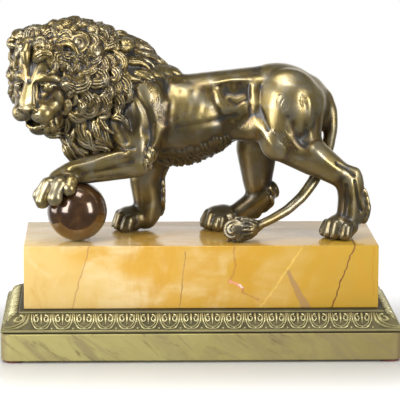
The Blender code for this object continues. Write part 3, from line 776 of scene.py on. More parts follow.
def spread(points, spacing, seed, keep):
    """Evenly spread points, chosen one at a time from the skin's own points."""
    order = np.random.default_rng(seed).permutation(len(points))
    chosen = np.empty((0, 3))
    for i in order:
        point = points[i]
        if len(chosen) and np.min(np.sum((chosen - point) ** 2, axis=1)) < spacing**2:
            continue
        if keep(point):
            chosen = np.vstack([chosen, point])
    return chosen


print("locks start at least", LOCK_SPACING, "mm apart")

# %% [markdown]
# Smaller locks grow in other places. The ones on the body start where a level ray meets the skin, and the
# ones on the head are placed in the head's own axes. Every draw comes from one generator, in this order.

# %% Short hair on the body
FRINGE_TOP = 104
# Behind a foreleg and two hind legs: x and y, and the heights of the fringe's top and foot
LEG_FRINGES = [(-42, 25, 66, 16), (163, -27, 44, 18), (63, 28, 40, 20)]


def from_side(skin, x, z, side, away=90):
    """Where a level ray from the lion's left (-1) or right (1) meets the skin, or None."""
    return skin.ray_cast(Vector((x, side * away, z)), Vector((0, -side, 0)))[0]


def lay_body_hair(clay, skin, varied):
    """Small locks: under the belly, on the withers, behind the legs, on the tail and under the chin."""
    for side in (NEAR, FAR):
        for row in range(4):
            for i in range(40):
                x = -55 + i * 2.2 + varied.uniform(-1, 1)
                z = belly_edge(x) + 21 - row * 4.6 + varied.uniform(-2, 2)
                if z > FRINGE_TOP:
                    continue
                start = from_side(skin, x, z, side)
                turn = side * varied.uniform(-50, 60)
                lay_lock(clay, skin, start, Vector((0.4, 0, -1)), varied.uniform(9, 15), 1.7, 1.9, turn, 1)
        for i in range(26):
            x = -66 + 44 * ((i * 0.618) % 1)
            z = 190 - 0.5 * (x + 66) - 26 * ((i * 0.387) % 1) * (0.9 - (x + 66) / 60)
            start = from_side(skin, x, z, side)
            if start:
                turn = side * varied.uniform(-70, 40)
                lay_lock(clay, skin, start, Vector((1, 0, -0.55)), 20, 4.6, 2.6, turn, 3, wave=True)
    for x, y, top, foot in LEG_FRINGES:
        for i in range(26):
            z = foot + (top - foot) * i / 25
            start = Vector((x + 8, y + varied.uniform(-5, 5), z + 5))
            lay_lock(clay, skin, start, Vector((0.25, 0, -1)), 14, 2.3, 3.2, varied.uniform(-60, 60), 1)
    for i in range(9):
        z = 6 + 2.2 * i
        start = from_side(skin, 54, z, NEAR)
        if start and start.y < -35:
            flow = Vector((-1, 0, 0.03 * (z - 16)))
            lay_lock(clay, skin, start, flow, 20, 2.0, 2.4, 20 - 5 * i, 2, wave=True)
    for i in range(12):
        start = from_side(skin, -158 + i * 2, 122 - (i % 3) * 3, NEAR)
        turn = varied.uniform(-90, 60)
        lay_lock(clay, skin, start, Vector((0.35, 0, -1)), 17, 2.4, 2.6, turn, 2, wave=True)


print("body hair ready")

# %% Short hair on the head
# For one side: where a lock starts, the way that it lies, its length and its turn
CHEEK_LOCKS = [
    ((15, -14, 36), (1, 0.3, 0.2), 48, 150),
    ((26, -12, 22), (1, 0.4, 0.1), 40, 130),
    ((29, -8, 4), (0.6, 0.5, -0.5), 34, 100),
]
FORELOCK = [((-3, -24, 42), 3.0), ((-2, -31, 35), 5.4), ((-1, -33, 28), 4.2), ((0, -32, 22), 1.4)]


def lay_head_hair(clay, skin, varied):
    """Locks over the brow, large ones at the temples and cheeks, a wreath around the face, a forelock."""
    for x, z, length, way in ((3, 35, 17, -0.1), (12, 37, 15, 0.3), (20, 34, 15, 0.6), (26, 27, 14, 0.9)):
        for side in (1, -1):
            start = HEAD_PLACE @ Vector((side * x, -20, z))
            flow = HEAD_WAY @ Vector((side * way, -0.6, -1))
            lay_lock(clay, skin, start, flow, length, 4.4, 4.2, side * 50, 3)
    for side in (-1, 1):
        mirror = Vector((side, 1, 1))
        for place, way, length, turn in CHEEK_LOCKS:
            start = HEAD_PLACE @ (Vector(place) * mirror)
            flow = HEAD_WAY @ (Vector(way) * mirror)
            lay_lock(clay, skin, start, flow, length, 5.2, 6.0, -side * turn, 4)
    for side in (-1, 1):
        for i in range(14):
            angle = math.radians(62 - 12 * (i // 2) - 6 * (i % 2))
            out = Vector((side * math.cos(angle), 0, math.sin(angle)))
            reach = 31 if i % 2 else 38
            start = Vector((out.x * reach, -3 + 11 * (i % 2), 2 + out.z * (34 if angle > 0 else 46)))
            flow = HEAD_WAY @ (out * 0.5 + Vector((side * 0.2, 0.7, -0.65)))
            lay_lock(clay, skin, HEAD_PLACE @ start, flow, 25, 3.7, 4.6, -side * varied.uniform(40, 120), 4)
    clay.chain([(HEAD_PLACE @ Vector(place), radius) for place, radius in FORELOCK])


print("head hair ready")

# %% The whole mane
# Where the mane has a whole spiral curl: a place near the skin and its radius
SPIRALS = [((-122, -45, 203), 9), ((-103, -42, 194), 7), ((-126, 38, 196), 8), ((-182, -12, 202), 7)]
SPIRALS += [((-97, -16, 212), 8), ((-74, -16, 194), 6)]
CREST_FOOT = 168
WITHERS = -80
CHEST_TOP = 128


def lay_spirals(clay, skin):
    for place, radius in SPIRALS:
        centre, normal = skin.find_nearest(Vector(place))[:2]
        first = normal.orthogonal().normalized()
        second = normal.cross(first)
        curl = []
        for i in range(34):
            part = i / 33
            angle = math.tau * 2.1 * part * (1 if place[1] < 0 else -1)
            reach = radius * (1 - part) ** 0.85 + 0.6
            out = (first * math.cos(angle) + second * math.sin(angle)) * reach
            curl.append((centre + out + normal * (3 + 4 * part), 2.6 - part))
        clay.chain(curl, sides=10)


def lay_mane(clay, points, faces):
    skin = BVHTree.FromPolygons([Vector(p) for p in points], faces)
    varied = np.random.default_rng(5)
    lay_body_hair(clay, skin, varied)
    lay_head_hair(clay, skin, varied)
    lay_spirals(clay, skin)
    to_head = HEAD_PLACE.inverted()
    varied = np.random.default_rng(11)
    seeds = spread(points, LOCK_SPACING, 4, lambda p: mane_covers(Vector(p), to_head @ Vector(p)))
    for seed in seeds:
        point = Vector(seed)
        if any((point - Vector(place)).length < radius for place, radius in SPIRALS):
            continue
        ahead = to_head @ point
        flow = mane_flow(point, ahead)
        side = NEAR if point.y < -4 else FAR
        group = noise(point / 34)
        curl = side if group > -0.12 else -side
        big = varied.uniform(0.82, 1.2)
        if point.z > CREST_FOOT and point.x > WITHERS:
            lay_lock(clay, skin, point, flow, 34 * big, 5.0 * big, 5.0, curl * 70, 4, wave=True)
        elif point.z > CHEST_TOP:
            turn = curl * varied.uniform(150, 260)
            height = varied.uniform(5.2, 8.2)
            lay_lock(clay, skin, point, flow, 27 * big, 6.2 * big, height, turn, int(varied.integers(4, 6)))
        else:
            turn = -curl * varied.uniform(60, 110)
            lay_lock(clay, skin, point, flow, 38 * big, 5.4 * big, 6.2, turn, 3, wave=True)
    return len(seeds)


print("mane ready:", len(SPIRALS), "spiral curls")

# %% [markdown]
# ## Engraving
# After casting, a chaser works over the bronze with small punches: muscles are sharpened, and patches of
# short curved hairs are cut on the shoulder, ribs, flank and haunch. The strokes are pressed into the
# fused skin along short paths, where a texture would look printed on.

# %% Carving tools
def normals_of(points, faces):
    mesh = bpy.data.meshes.new("skin")
    mesh.from_pydata(points.tolist(), [], faces)
    normals = column(mesh.vertex_normals, "vector")
    bpy.data.meshes.remove(mesh)
    return normals


HAIR_HALF_WIDTH = 0.6
HAIR_DEPTH = 0.32
STROKE_DEPTH = 0.3


class Chisel:
    """Presses grooves into a skin of points, or raises ridges where the depth is negative."""

    def __init__(self, points, faces, guide):
        self.points = points
        self.normals = normals_of(points, faces)
        self.order = np.argsort(points[:, 0])
        self.sorted_x = points[self.order, 0]
        self.guide = guide

    def carve(self, path, half_width, depth):
        path = np.array([tuple(p) for p in path])
        reach = half_width * 2.5
        low, high = np.searchsorted(self.sorted_x, (path[:, 0].min() - reach, path[:, 0].max() + reach))
        near = self.order[low:high]
        here = self.points[near]
        inside = np.all((here > path.min(0) - reach) & (here < path.max(0) + reach), axis=1)
        near = near[inside]
        here = here[inside]
        distance = np.full(len(near), np.inf)
        for start, end in zip(path, path[1:]):
            along = end - start
            share = np.clip((here - start) @ along / max(along @ along, 1e-9), 0, 1)
            distance = np.minimum(distance, np.linalg.norm(here - (start + share[:, None] * along), axis=1))
        self.points[near] -= self.normals[near] * (depth * np.exp(-((distance / half_width) ** 2)))[:, None]

    def along_side(self, path, side, half_width, depth):
        """Carves along a way given as x and height, seen straight from the lion's left or right."""
        placed = [from_side(self.guide, x, z, side, 200) for x, z in path]
        placed = [p for p in placed if p]
        if len(placed) > 1:
            self.carve(placed, half_width, depth)

    def hairs(self, x, z, side, way, size=1.0, rows=4):
        """A patch of nested crescents around (x, z), opening along way in degrees."""
        way += 22 * math.sin(x * 1.7 + z)
        size *= 1 + 0.2 * math.sin(x + z * 2.3)
        for row in range(rows):
            radius = (2.0 + 1.9 * row) * size
            path = []
            for i in range(5):
                angle = math.radians(way - 48 + 24 * i)
                path.append((x + radius * math.cos(angle), z + radius * math.sin(angle)))
            self.along_side(path, side, HAIR_HALF_WIDTH, HAIR_DEPTH)

    def strokes(self, first, last, count, side, way, length):
        """Short straight hairs side by side from one place to another."""
        lean = math.radians(way)
        for i in range(count):
            part = i / (count - 1)
            x = first[0] + (last[0] - first[0]) * part
            z = first[1] + (last[1] - first[1]) * part
            far = length * (0.8 + 0.4 * abs(math.sin(i * 2.1)))
            path = [(x, z), (x + far * math.cos(lean), z + far * math.sin(lean))]
            self.along_side(path, side, HAIR_HALF_WIDTH, STROKE_DEPTH)


print("chisel ready")

# %% Where the chaser worked
# Depth, half width and the way seen from the side, as x and height. A negative depth is a ridge
TRUNK_RELIEF = [
    (2.6, 6.5, [(28, 149), (35, 148), (43, 150)]),
    (-1.0, 3.0, [(16, 157), (32, 160), (48, 160)]),
    (-1.1, 3.4, [(17, 150), (20, 139), (26, 132), (34, 131), (42, 134), (48, 137)]),
    (0.9, 2.2, [(30, 141), (37, 137), (45, 141)]),
    (-1.8, 5.0, [(57, 160), (53, 150), (55, 138), (53, 127), (59, 116), (66, 107), (73, 98)]),
    (1.3, 2.4, [(49, 154), (48, 140), (51, 126)]),
    (1.2, 3.0, [(61, 154), (60, 134), (68, 114)]),
    (1.1, 3.6, [(-23, 116), (-4, 118), (17, 121), (34, 126)]),
    (0.5, 3.2, [(-20, 150), (-19, 136), (-23, 124)]),
    (0.5, 3.2, [(-8, 150), (-7, 136), (-11, 124)]),
    (0.5, 3.2, [(4, 149), (5, 136), (1, 125)]),
    (1.0, 4.0, [(-34, 158), (-30, 140), (-33, 120)]),
]
NEAR_RELIEF = [
    (2.0, 3.4, [(-66, 150), (-55, 133), (-51, 119), (-50, 105), (-54, 94)]),
    (-1.5, 4.6, [(-66, 141), (-62, 124), (-61, 108)]),
    (1.4, 3.6, [(-79, 132), (-81, 116), (-76, 102)]),
    (1.5, 2.4, [(-86, 98), (-77, 93), (-68, 96)]),
    (-1.5, 3.0, [(-74, 91), (-84, 90), (-108, 82), (-130, 77)]),
    (1.0, 3.0, [(-70, 82), (-96, 75), (-118, 70)]),
    (-1.4, 4.0, [(109, 143), (110, 124), (111, 107)]),
    (1.8, 5.5, [(103, 101), (107, 99)]),
    (1.0, 4.0, [(88, 126), (94, 112), (104, 98)]),
    (-1.2, 4.0, [(115, 92), (128, 80), (140, 71)]),
    (1.3, 2.0, [(138, 78), (150, 72), (156, 66)]),
    (1.5, 1.8, [(157, 60), (160, 44), (163, 30)]),
    (0.8, 2.0, [(148, 56), (149, 40), (147, 26)]),
]
FAR_RELIEF = [
    (1.5, 3.4, [(-66, 150), (-54, 132), (-38, 112), (-32, 98)]),
    (0.9, 3.6, [(66, 120), (84, 104), (84, 84)]),
    (1.0, 2.0, [(-46, 62), (-44, 44), (-44, 24)]),
    (1.0, 2.0, [(70, 70), (69, 52), (68, 40)]),
]
# Patches of hairs: x, z and the way that they open
PATCHES = [
    (-55, 158, -35), (-49, 152, -35), (-44, 146, -30), (-51, 143, -30),
    (-77, 166, -60), (-70, 162, -60), (-64, 168, -50),
    (-46, 130, 10), (-39, 126, 10), (-31, 123, 10), (-43, 119, 10), (-35, 116, 10), (-27, 115, 10),
    (-99, 118, -70), (-91, 114, -70), (-86, 107, -70), (-96, 109, -70),
    (83, 141, 190), (89, 137, 190), (108, 142, 200), (113, 138, 200), (95, 122, 190), (92, 115, 190),
    (-52, 178, -45), (-46, 171, -45), (-37, 165, -40), (-58, 184, -45),
]
muscle_lines = TRUNK_RELIEF + NEAR_RELIEF + FAR_RELIEF
print(len(muscle_lines), "muscle lines,", len(PATCHES), "patches of hairs")

# %% Chase the skin
def chase_face(chisel):
    for depth, half_width, path in FACE_GROOVES:
        for side in (-1, 1):
            if side > 0 and all(p[0] == 0 for p in path):
                continue
            placed = [HEAD_PLACE @ Vector((side * x, y, z)) for x, y, z in path]
            chisel.carve(placed, half_width * 1.25, depth)


def chase_body(chisel):
    for side, reliefs in ((NEAR, TRUNK_RELIEF + NEAR_RELIEF), (FAR, TRUNK_RELIEF + FAR_RELIEF)):
        for depth, half_width, path in reliefs:
            chisel.along_side(path, side, half_width, depth)
    for x, z, opens in PATCHES:
        chisel.hairs(x, z, NEAR, opens)
        if x < 60:
            chisel.hairs(x, z, FAR, opens)
    for side in (NEAR, FAR):
        chisel.strokes((35, 121), (53, 116), 9, side, -80, 6)
        chisel.strokes((-120, 69), (-74, 70), 16, side, -35, 5)
    for row in range(4):
        chisel.strokes((68 + row * 3.4, 117 - row * 0.6), (86 + row * 3.4, 96 - row * 0.6), 13, NEAR, -62, 3)


print("chasing ready")

# %% [markdown]
# ## Tail tuft
# The tail ends in a tuft that is rolled up like a shell and lies on the plinth. It is a spiral with its
# centre towards the viewer, and nine strands come down from the tail around it.

# %% Tail tuft
TUFT_CENTRE = Vector((33, -52, 13.5))


def lay_tail_tuft(clay):
    axis = Vector((-0.35, -0.9, 0.25)).normalized()
    right = UP.cross(axis).normalized()
    up = axis.cross(right)
    steps = 44
    spiral = []
    for i in range(steps + 1):
        part = i / steps
        angle = math.radians(-60 + 850 * part)
        radius = 10.0 * (1 - part) ** 0.8 + 0.8
        centre = TUFT_CENTRE + axis * (7 * part - 1)
        place = centre + right * (radius * math.cos(angle)) + up * (radius * math.sin(angle))
        spiral.append((place, 2.4 - 1.0 * part))
    clay.chain(spiral, sides=10)
    for i in range(9):
        angle = math.radians(-150 + 30 * i)
        ring = right * math.cos(angle) + up * math.sin(angle)
        root = Vector((57, -44, 16)) + ring * 4
        middle = Vector((46, -47, 14.5)) + ring * 9.5
        tip = TUFT_CENTRE + Vector((1.5, 3, 0)) + ring * (11.5 + (1.5 if i % 2 else 0))
        clay.chain([(root, 2.2), (middle, 2.6), (tip, 1.6)], sides=10)


print("tuft ready")

# %% [markdown]
# ## Building the lion
# The skin is fused three times, finer each time: first the smooth masses, then head and paw pads, then
# the toes, face and locks, so that each keeps the sharpness it needs. The chisel works last. The finished
# skin is thinned where it is flat, stood on the plinth, and eased off the ball.

# %% Build
MASS_VOXEL = 2.2
HEAD_VOXEL = 1.4
LION_VOXEL = 0.75
LION_TRIANGLES = 196000
LION_STRETCH = 1.015
LION_SINK = 1.0
SEAT_GAP = 0.3
BODY_PARTS = [lay_trunk, lay_belly_core, lay_near_hind_leg, lay_far_hind_leg, lay_far_foreleg]
BODY_PARTS += [lay_near_foreleg, lay_tail, lay_mane_base]


def build_lion():
    body = Clay()
    for lay in BODY_PARTS:
        lay(body)
    points, faces = fused(body, MASS_VOXEL, 9)
    masses = Clay()
    masses.add(points, faces)
    lay_raised_pad(masses)
    for ankle, turned, _ in PAWS:
        lay_paw_pad(masses, ankle, turned)
    head = HeadClay()
    lay_head_masses(head)
    masses.add(head.placed(), head.faces)
    points, faces = fused(masses, HEAD_VOXEL, 5)
    lion = Clay()
    lion.add(points, faces)
    face = HeadClay()
    lay_face(face)
    lion.add(face.placed(), face.faces)
    for ankle, turned, width in PAWS:
        lay_toes(lion, ankle, turned, width)
    lay_raised_toes(lion)
    lay_tail_tuft(lion)
    print("locks:", lay_mane(lion, points, faces))
    guide = BVHTree.FromPolygons([Vector(p) for p in points], faces)
    points, faces = fused(lion, LION_VOXEL, 1)
    chisel = Chisel(points, faces, guide)
    chase_face(chisel)
    chase_body(chisel)
    return points, faces


skin_points, skin_faces = build_lion()
print("skin:", len(skin_points), "points")

# %% Keep one body
def largest_body(count, faces):
    """Which points belong to the skin with the most points."""
    label = np.arange(count)
    corners = np.array(faces)
    while True:
        low = label[corners].min(axis=1)
        after = label.copy()
        np.minimum.at(after, corners.ravel(), np.repeat(low, corners.shape[1]))
        after = after[after]
        if np.array_equal(after, label):
            break
        label = after
    names, sizes = np.unique(label, return_counts=True)
    return label == names[np.argmax(sizes)]


keep = largest_body(len(skin_points), skin_faces)
rough = mesh_object("rough", skin_points, [f for f in skin_faces if keep[f[0]]])
thin = rough.modifiers.new("thin", "DECIMATE")
thin.ratio = min(1.0, LION_TRIANGLES / (2 * len(rough.data.polygons)))
thin.use_collapse_triangulate = True
skin_points, skin_faces = evaluated(rough)
print("thinned to", len(skin_faces), "triangles")

# %% Stand it on the plinth and off the ball
skin_points[:, 2] = skin_points[:, 2] * LION_STRETCH - LION_SINK
from_ball = skin_points - np.array(BALL_CENTRE)
distance = np.linalg.norm(from_ball, axis=1)
inside = distance < BALL_RADIUS + SEAT_GAP
on_ball = from_ball[inside] / distance[inside, None] * (BALL_RADIUS + SEAT_GAP)
skin_points[inside] = np.array(BALL_CENTRE) + on_ball
skin_points[:, 2] = np.maximum(skin_points[:, 2], SEAT_GAP) + PLINTH_TOP
lion = mesh_object("bronze_lion", skin_points * MM, skin_faces)
used = bmesh.new()
used.from_mesh(lion.data)
bmesh.ops.delete(used, geom=[v for v in used.verts if not v.link_faces], context="VERTS")
used.to_mesh(lion.data)
used.free()
lion.data.shade_smooth()
print("lion:", len(lion.data.polygons), "triangles")

# %% [markdown]
# ## Relief for the patina and the painted shade
# Old bronze is dark where nobody can rub it and bright where hands and dusters reach. The height of each
# point over a smoothed copy of the skin says which is which. It is stored on the mesh, once for fine
# grooves and once for the broad hollows, and the material reads it. So is how far a place faces down,
# which the material darkens partly as painted shade and partly as patina on undersides that dusters never
# reach.

# %% Measure the relief
def eased(mesh, values, rounds):
    """Values at a mesh's points, blended with their neighbours' as many times as there are rounds."""
    low, high = column(mesh.edges, "vertices", 2, np.int32).T
    count = np.maximum(np.bincount(low, minlength=len(values)) + np.bincount(high, minlength=len(values)), 1)
    for _ in range(rounds):
        total = np.bincount(low, values[high], len(values))
        total += np.bincount(high, values[low], len(values))
        values = values * 0.4 + total / count * 0.6
    return values


def store_relief(mesh, name, rounds, reach_mm):
    """How far each point stands over an eased copy of the skin, from 0 to 1 with 0.5 as level."""
    points = column(mesh.vertices, "co").astype(float)
    level = np.stack([eased(mesh, points[:, axis], rounds) for axis in range(3)], 1)
    height = np.sum((points - level) * column(mesh.vertex_normals, "vector"), axis=1) / (reach_mm * MM)
    store(mesh, name, 0.5 + 0.5 * height)
    print(name, "reaches", round(float(np.abs(height).max() * reach_mm), 1), "mm")


store_relief(lion.data, "fine_relief", 6, 0.5)
store_relief(lion.data, "broad_relief", 70, 4.5)
down = -column(lion.data.vertex_normals, "vector")[:, 2].astype(float)
store(lion.data, "facing_down", eased(lion.data, down, 40))

# %% [markdown]
# ## Bronze
# A brown-gold patina: olive brown in the body, nearly black in the grooves, and rubbed to pale gold on the
# strands, knuckles and ridges. Cloudy patches of red-brown and green-brown break it up, a pale painted sheen
# lies on some high places, and a fine brushed grain roughens the gleam. Painted shade darkens the
# undersides, the paws and lower legs, the far legs and a few broad places.

# %% Bronze finish
# Broad places painted darker as shade - the upper arm, behind the shoulder, the belly: x, height and radius
SHADED_PLACES = [(-66, 126, 17), (-44, 132, 13), (-20, 98, 22), (14, 100, 22), (36, 106, 14)]


def bronze_finish():
    net = Net("brown_gold_bronze_patina_painted_shade_and_sheen")
    fine = net.attribute("fine_relief")
    broad = net.attribute("broad_relief")
    down = net.attribute("facing_down")
    cloud = net.noise(38, 3, 0.5, 0.4)
    drift = net.times(net.minus(cloud, 0.5), 0.1)
    body = net.mix(net.ramp(cloud, [(0.35, 0.0), (0.65, 1.0)]), (0.095, 0.058, 0.012), (0.25, 0.168, 0.034))
    red = net.noise(26, 3, 0.55, 0.6)
    body = net.mix(net.ramp(red, [(0.5, 0.0), (0.72, 0.6)]), body, (0.15, 0.06, 0.018))
    green = net.noise(31, 3, 0.5, 0.5, (1, 1, 0.7))
    body = net.mix(net.ramp(green, [(0.55, 0.0), (0.75, 0.5)]), body, (0.085, 0.09, 0.032))
    high = net.plus(net.times(fine, 0.55), net.times(broad, 0.45))
    rubbed = net.ramp(net.plus(high, drift), [(0.515, 0.0), (0.68, 1.0)])
    colour = net.mix(rubbed, body, (0.42, 0.315, 0.11))
    grooves = net.ramp(fine, [(0.22, 0.95), (0.48, 0.0)])
    hollows = net.ramp(net.plus(broad, drift), [(0.2, 1.0), (0.47, 0.0)])
    deep = net.maths("MAXIMUM", grooves, hollows)
    # painted shade: where the skin faces down it is darkened, as well as by patina that is less rubbed there
    deep = net.maths("MAXIMUM", deep, net.ramp(down, [(0.1, 0.0), (0.62, 0.9)]))
    parts = net.add("ShaderNodeSeparateXYZ", {0: net.place})
    height = net.times(net.minus(parts.outputs["Z"], PLINTH_TOP * MM), 10.0)
    # painted shade: darker towards the plinth, over the paws and lower legs
    low = net.ramp(height, [(0.1, 0.6), (0.5, 0.0)])
    # painted shade on the far legs, below the body
    far_side = net.ramp(net.times(parts.outputs["Y"], 30.0), [(0.15, 0.0), (0.5, 0.5)])
    far_legs_shade = net.times(far_side, net.ramp(height, [(0.75, 1.0), (1.0, 0.0)]))
    shade = net.maths("MAXIMUM", low, far_legs_shade)
    flat = net.add("ShaderNodeCombineXYZ", {"X": parts.outputs["X"], "Z": parts.outputs["Z"]}).outputs[0]
    # painted shade: a soft dark spot around each listed place
    for x, z, radius in SHADED_PLACES:
        centre = (x * MM, 0, (PLINTH_TOP + z) * MM)
        away = net.vector("DISTANCE", a=flat, b=centre)
        painted_shade_spot = net.ramp(net.maths("DIVIDE", away, 2 * radius * MM), [(0.25, 0.6), (0.75, 0.0)], smooth=True)
        shade = net.maths("MAXIMUM", shade, painted_shade_spot)
    # painted sheen: a pale whitish gleam painted on some broad high places
    painted_sheen = net.ramp(net.noise(20, 4, 0.6, 0.7), [(0.46, 0.0), (0.62, 0.6)])
    painted_sheen = net.times(painted_sheen, net.ramp(net.plus(broad, drift), [(0.5, 0.0), (0.62, 1.0)]))
    colour = net.mix(painted_sheen, colour, (0.5, 0.46, 0.35))
    colour = net.mix(shade, colour, (0.04, 0.028, 0.012))
    colour = net.mix(deep, colour, (0.016, 0.012, 0.007))
    grain = net.noise(1.6, 2, 0.6)
    rough = net.plus(net.times(deep, 0.3), net.times(grain, 0.1))
    rough = net.plus(rough, net.times(cloud, 0.14))
    rough = net.plus(rough, 0.24, clamp=True)
    metal = net.minus(0.95, net.times(deep, 0.6))
    bumps = net.bump(net.noise(3.2, 3, 0.6), 0.22, 0.12)
    net.coat(weight=0.9, ior=1.55, rough=0.3)
    return net.finish(Base_Color=colour, Roughness=rough, Metallic=metal, Normal=bumps)


lion.data.materials.append(bronze_finish())
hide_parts("lion")
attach(lion, "root")
print("lion dressed")

# %% [markdown]
# ## The ball
# The ball is turned and polished, so it is a fine round skin with a small flat seat under it. Its finish
# is a dark red-brown bronze with a hard gleam, in which the light panels and the golden plinth show.

# %% Ball
SEAT_DEPTH = 0.12
BALL_RINGS = 64
BALL_SIDES = 96


def turned_ball():
    seat = BALL_RADIUS - SEAT_DEPTH
    turns = math.tau * np.arange(BALL_SIDES) / BALL_SIDES
    rings = []
    for i in range(1, BALL_RINGS):
        angle = -math.pi / 2 + math.pi * i / BALL_RINGS
        out = BALL_RADIUS * math.cos(angle)
        up = max(-seat, BALL_RADIUS * math.sin(angle))
        rings.append(np.stack([out * np.cos(turns), out * np.sin(turns), np.full(BALL_SIDES, up)], 1))
    clay = Clay()
    clay.rings(rings, (0, 0, -seat), (0, 0, BALL_RADIUS))
    centre = np.array(BALL_CENTRE) + (0, 0, PLINTH_TOP)
    made = mesh_object("polished_ball", (clay.points[0] + centre) * MM, clay.faces)
    made.data.shade_smooth()
    return made


def ball_finish():
    net = Net("polished_red_brown_bronze")
    cloud = net.noise(16, 4, 0.55, 0.8)
    browns = [(0.3, (0.055, 0.021, 0.006)), (0.55, (0.105, 0.046, 0.012)), (0.75, (0.19, 0.098, 0.028))]
    rough = net.plus(net.times(net.noise(2.4, 3, 0.6), 0.08), 0.06)
    bumps = net.bump(net.noise(9, 2, 0.5), 0.08, 0.1)
    net.coat(weight=1.0, ior=1.75, rough=0.17)
    return net.finish(Base_Color=net.ramp(cloud, browns), Roughness=rough, Metallic=0.6, Normal=bumps)


ball = turned_ball()
ball.data.materials.append(ball_finish())
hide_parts("ball")
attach(ball, "root")
print("ball:", len(ball.data.polygons), "faces")

# %% [markdown]
# ## The marble plinth
# A sawn and polished block of yellow marble, with a few old chips along its top front edge. The block is
# one box with eased edges, and each chip is cut out of it, so that the broken edge catches real light.

# %% Marble block
PLINTH_LOW, PLINTH_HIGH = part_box("marble_plinth")
# Each chip in the top front edge: where along it and how deep
CHIPS = [(-119.5, 3.0), (-116, 1.9), (106.5, 2.0), (124.5, 2.4), (29, 1.9), (18, 1.5), (-36, 1.5), (74, 1.4)]
EDGE_WIDTH = 0.9
BLOCK_CREASE = math.radians(35)


def chip_cutter(i, x, deep):
    """An uneven lump that bites the chip out."""
    chip = bmesh.new()
    bmesh.ops.create_icosphere(chip, subdivisions=2, radius=1.0)
    for vertex in chip.verts:
        vertex.co *= 1 + 0.35 * noise(vertex.co * 1.7 + Vector((i * 9.0, 0, 0)))
    bmesh.ops.scale(chip, vec=Vector((deep * 1.3, deep * 0.7, deep * 0.55)) * MM, verts=chip.verts)
    bmesh.ops.translate(chip, vec=(x * MM, PLINTH_LOW.y, PLINTH_HIGH.z), verts=chip.verts)
    return built_object(f"chip_{i}", chip)


def marble_block():
    block = bmesh.new()
    bmesh.ops.create_cube(block, size=1.0)
    bmesh.ops.scale(block, vec=PLINTH_HIGH - PLINTH_LOW, verts=block.verts)
    bmesh.ops.translate(block, vec=(PLINTH_LOW + PLINTH_HIGH) / 2, verts=block.verts)
    made = built_object("marble_block", block)
    bevel = made.modifiers.new("eased_edges", "BEVEL")
    bevel.width = EDGE_WIDTH * MM
    bevel.segments = 3
    cutters = [chip_cutter(i, x, deep) for i, (x, deep) in enumerate(CHIPS)]
    for cutter in cutters:
        cut = made.modifiers.new(cutter.name, "BOOLEAN")
        cut.operation = "DIFFERENCE"
        cut.solver = "EXACT"
        cut.object = cutter
    finished = final_mesh(made)
    made.modifiers.clear()
    made.data = finished
    for cutter in cutters:
        bpy.data.objects.remove(cutter)
    made.data.shade_smooth()
    made.data.set_sharp_from_angle(angle=BLOCK_CREASE)
    return made


plinth = marble_block()
print("marble block:", len(plinth.data.polygons), "faces")

# %% [markdown]
# The stone deepens from pale cream at its left end to gold at the right, in soft cloudy drifts; the paling
# towards the left end is painted light. A few fine cracks run right through it, one pink vein, one pale
# vein, and a wedge of grey-brown inclusion. Each vein is a set of straight runs that a noise bends, so one
# crack goes on over the top and out at the back.

# %% Veins
# Each vein: its name, its places as x and height above the block's foot, and its width
VEINS = {
    "pale": ([(101, 62), (88, 42), (79, 28), (65, 8), (58, 0)], 1.3),
    "pink": ([(33, 63), (33, 52), (35, 44), (31, 32), (28, 28), (42, 21), (42, 16), (47, 14), (58, 9)], 1.5),
    "rose": ([(29, 28), (36, 25), (41, 21)], 2.8),
    "pearl": ([(38, 24), (41, 22)], 1.6),
    "brown": ([(-113, 64), (-117, 46), (-123, 28), (-130, 0)], 1.0),
    "hair": ([(-16, 58), (-19, 28), (-22, 0)], 0.9),
    "crack": ([(155, 64), (149, 52), (147, 43), (141, 29), (137, 15), (132, 0)], 1.1),
    "red": ([(174, 62), (172.5, 50), (172.5, 33), (174, 12)], 1.0),
}


def run_distance_group():
    """Distance in millimetres from a point to a run between two places, seen from the front."""
    group = bpy.data.node_groups.new("run_distance", "ShaderNodeTree")
    for name in ("Place", "Start", "End"):
        group.interface.new_socket(name, in_out="INPUT", socket_type="NodeSocketVector")
    group.interface.new_socket("Distance", in_out="OUTPUT", socket_type="NodeSocketFloat")
    net = Nodes(group)
    begin = net.add("NodeGroupInput").outputs
    offset = net.vector("SUBTRACT", a=begin["Place"], b=begin["Start"])
    run = net.vector("SUBTRACT", a=begin["End"], b=begin["Start"])
    along, whole = net.vector("DOT_PRODUCT", a=offset, b=run), net.vector("DOT_PRODUCT", a=run, b=run)
    share = net.maths("DIVIDE", along, whole, clamp=True)
    gap = net.vector("SUBTRACT", a=offset, b=net.vector("SCALE", a=run, scale=share))
    net.add("NodeGroupOutput", {"Distance": net.vector("LENGTH", a=gap)})
    return group


def vein_line(net, group, bent, name):
    """One along the middle of the vein, falling to nought at its edge."""
    places, width = VEINS[name]
    foot = PLINTH_LOW.z / MM
    nearest = None
    for (x0, z0), (x1, z1) in zip(places, places[1:]):
        made = net.add("ShaderNodeGroup", node_tree=group)
        for key, value in (("Place", bent), ("Start", (x0, 0, z0 + foot)), ("End", (x1, 0, z1 + foot))):
            net.put(value, made.inputs[key])
        here = made.outputs["Distance"]
        nearest = here if nearest is None else net.maths("MINIMUM", nearest, here)
    return net.minus(1.0, net.maths("DIVIDE", nearest, width), clamp=True)


print("veins:", ", ".join(VEINS))

# %% Marble finish
BEND_SCALE = 0.16
BEND_MM = 4.5
FRONT = (1, 0, 1)
# The stone's main colour from its left end to its right, paler at the left as painted light
STONE_COLOURS_WITH_PAINTED_LIGHT = [(0.05, (0.61, 0.425, 0.15)), (0.35, (0.56, 0.32, 0.052))]
STONE_COLOURS_WITH_PAINTED_LIGHT += [(0.6, (0.5, 0.285, 0.034)), (0.95, (0.435, 0.26, 0.031))]


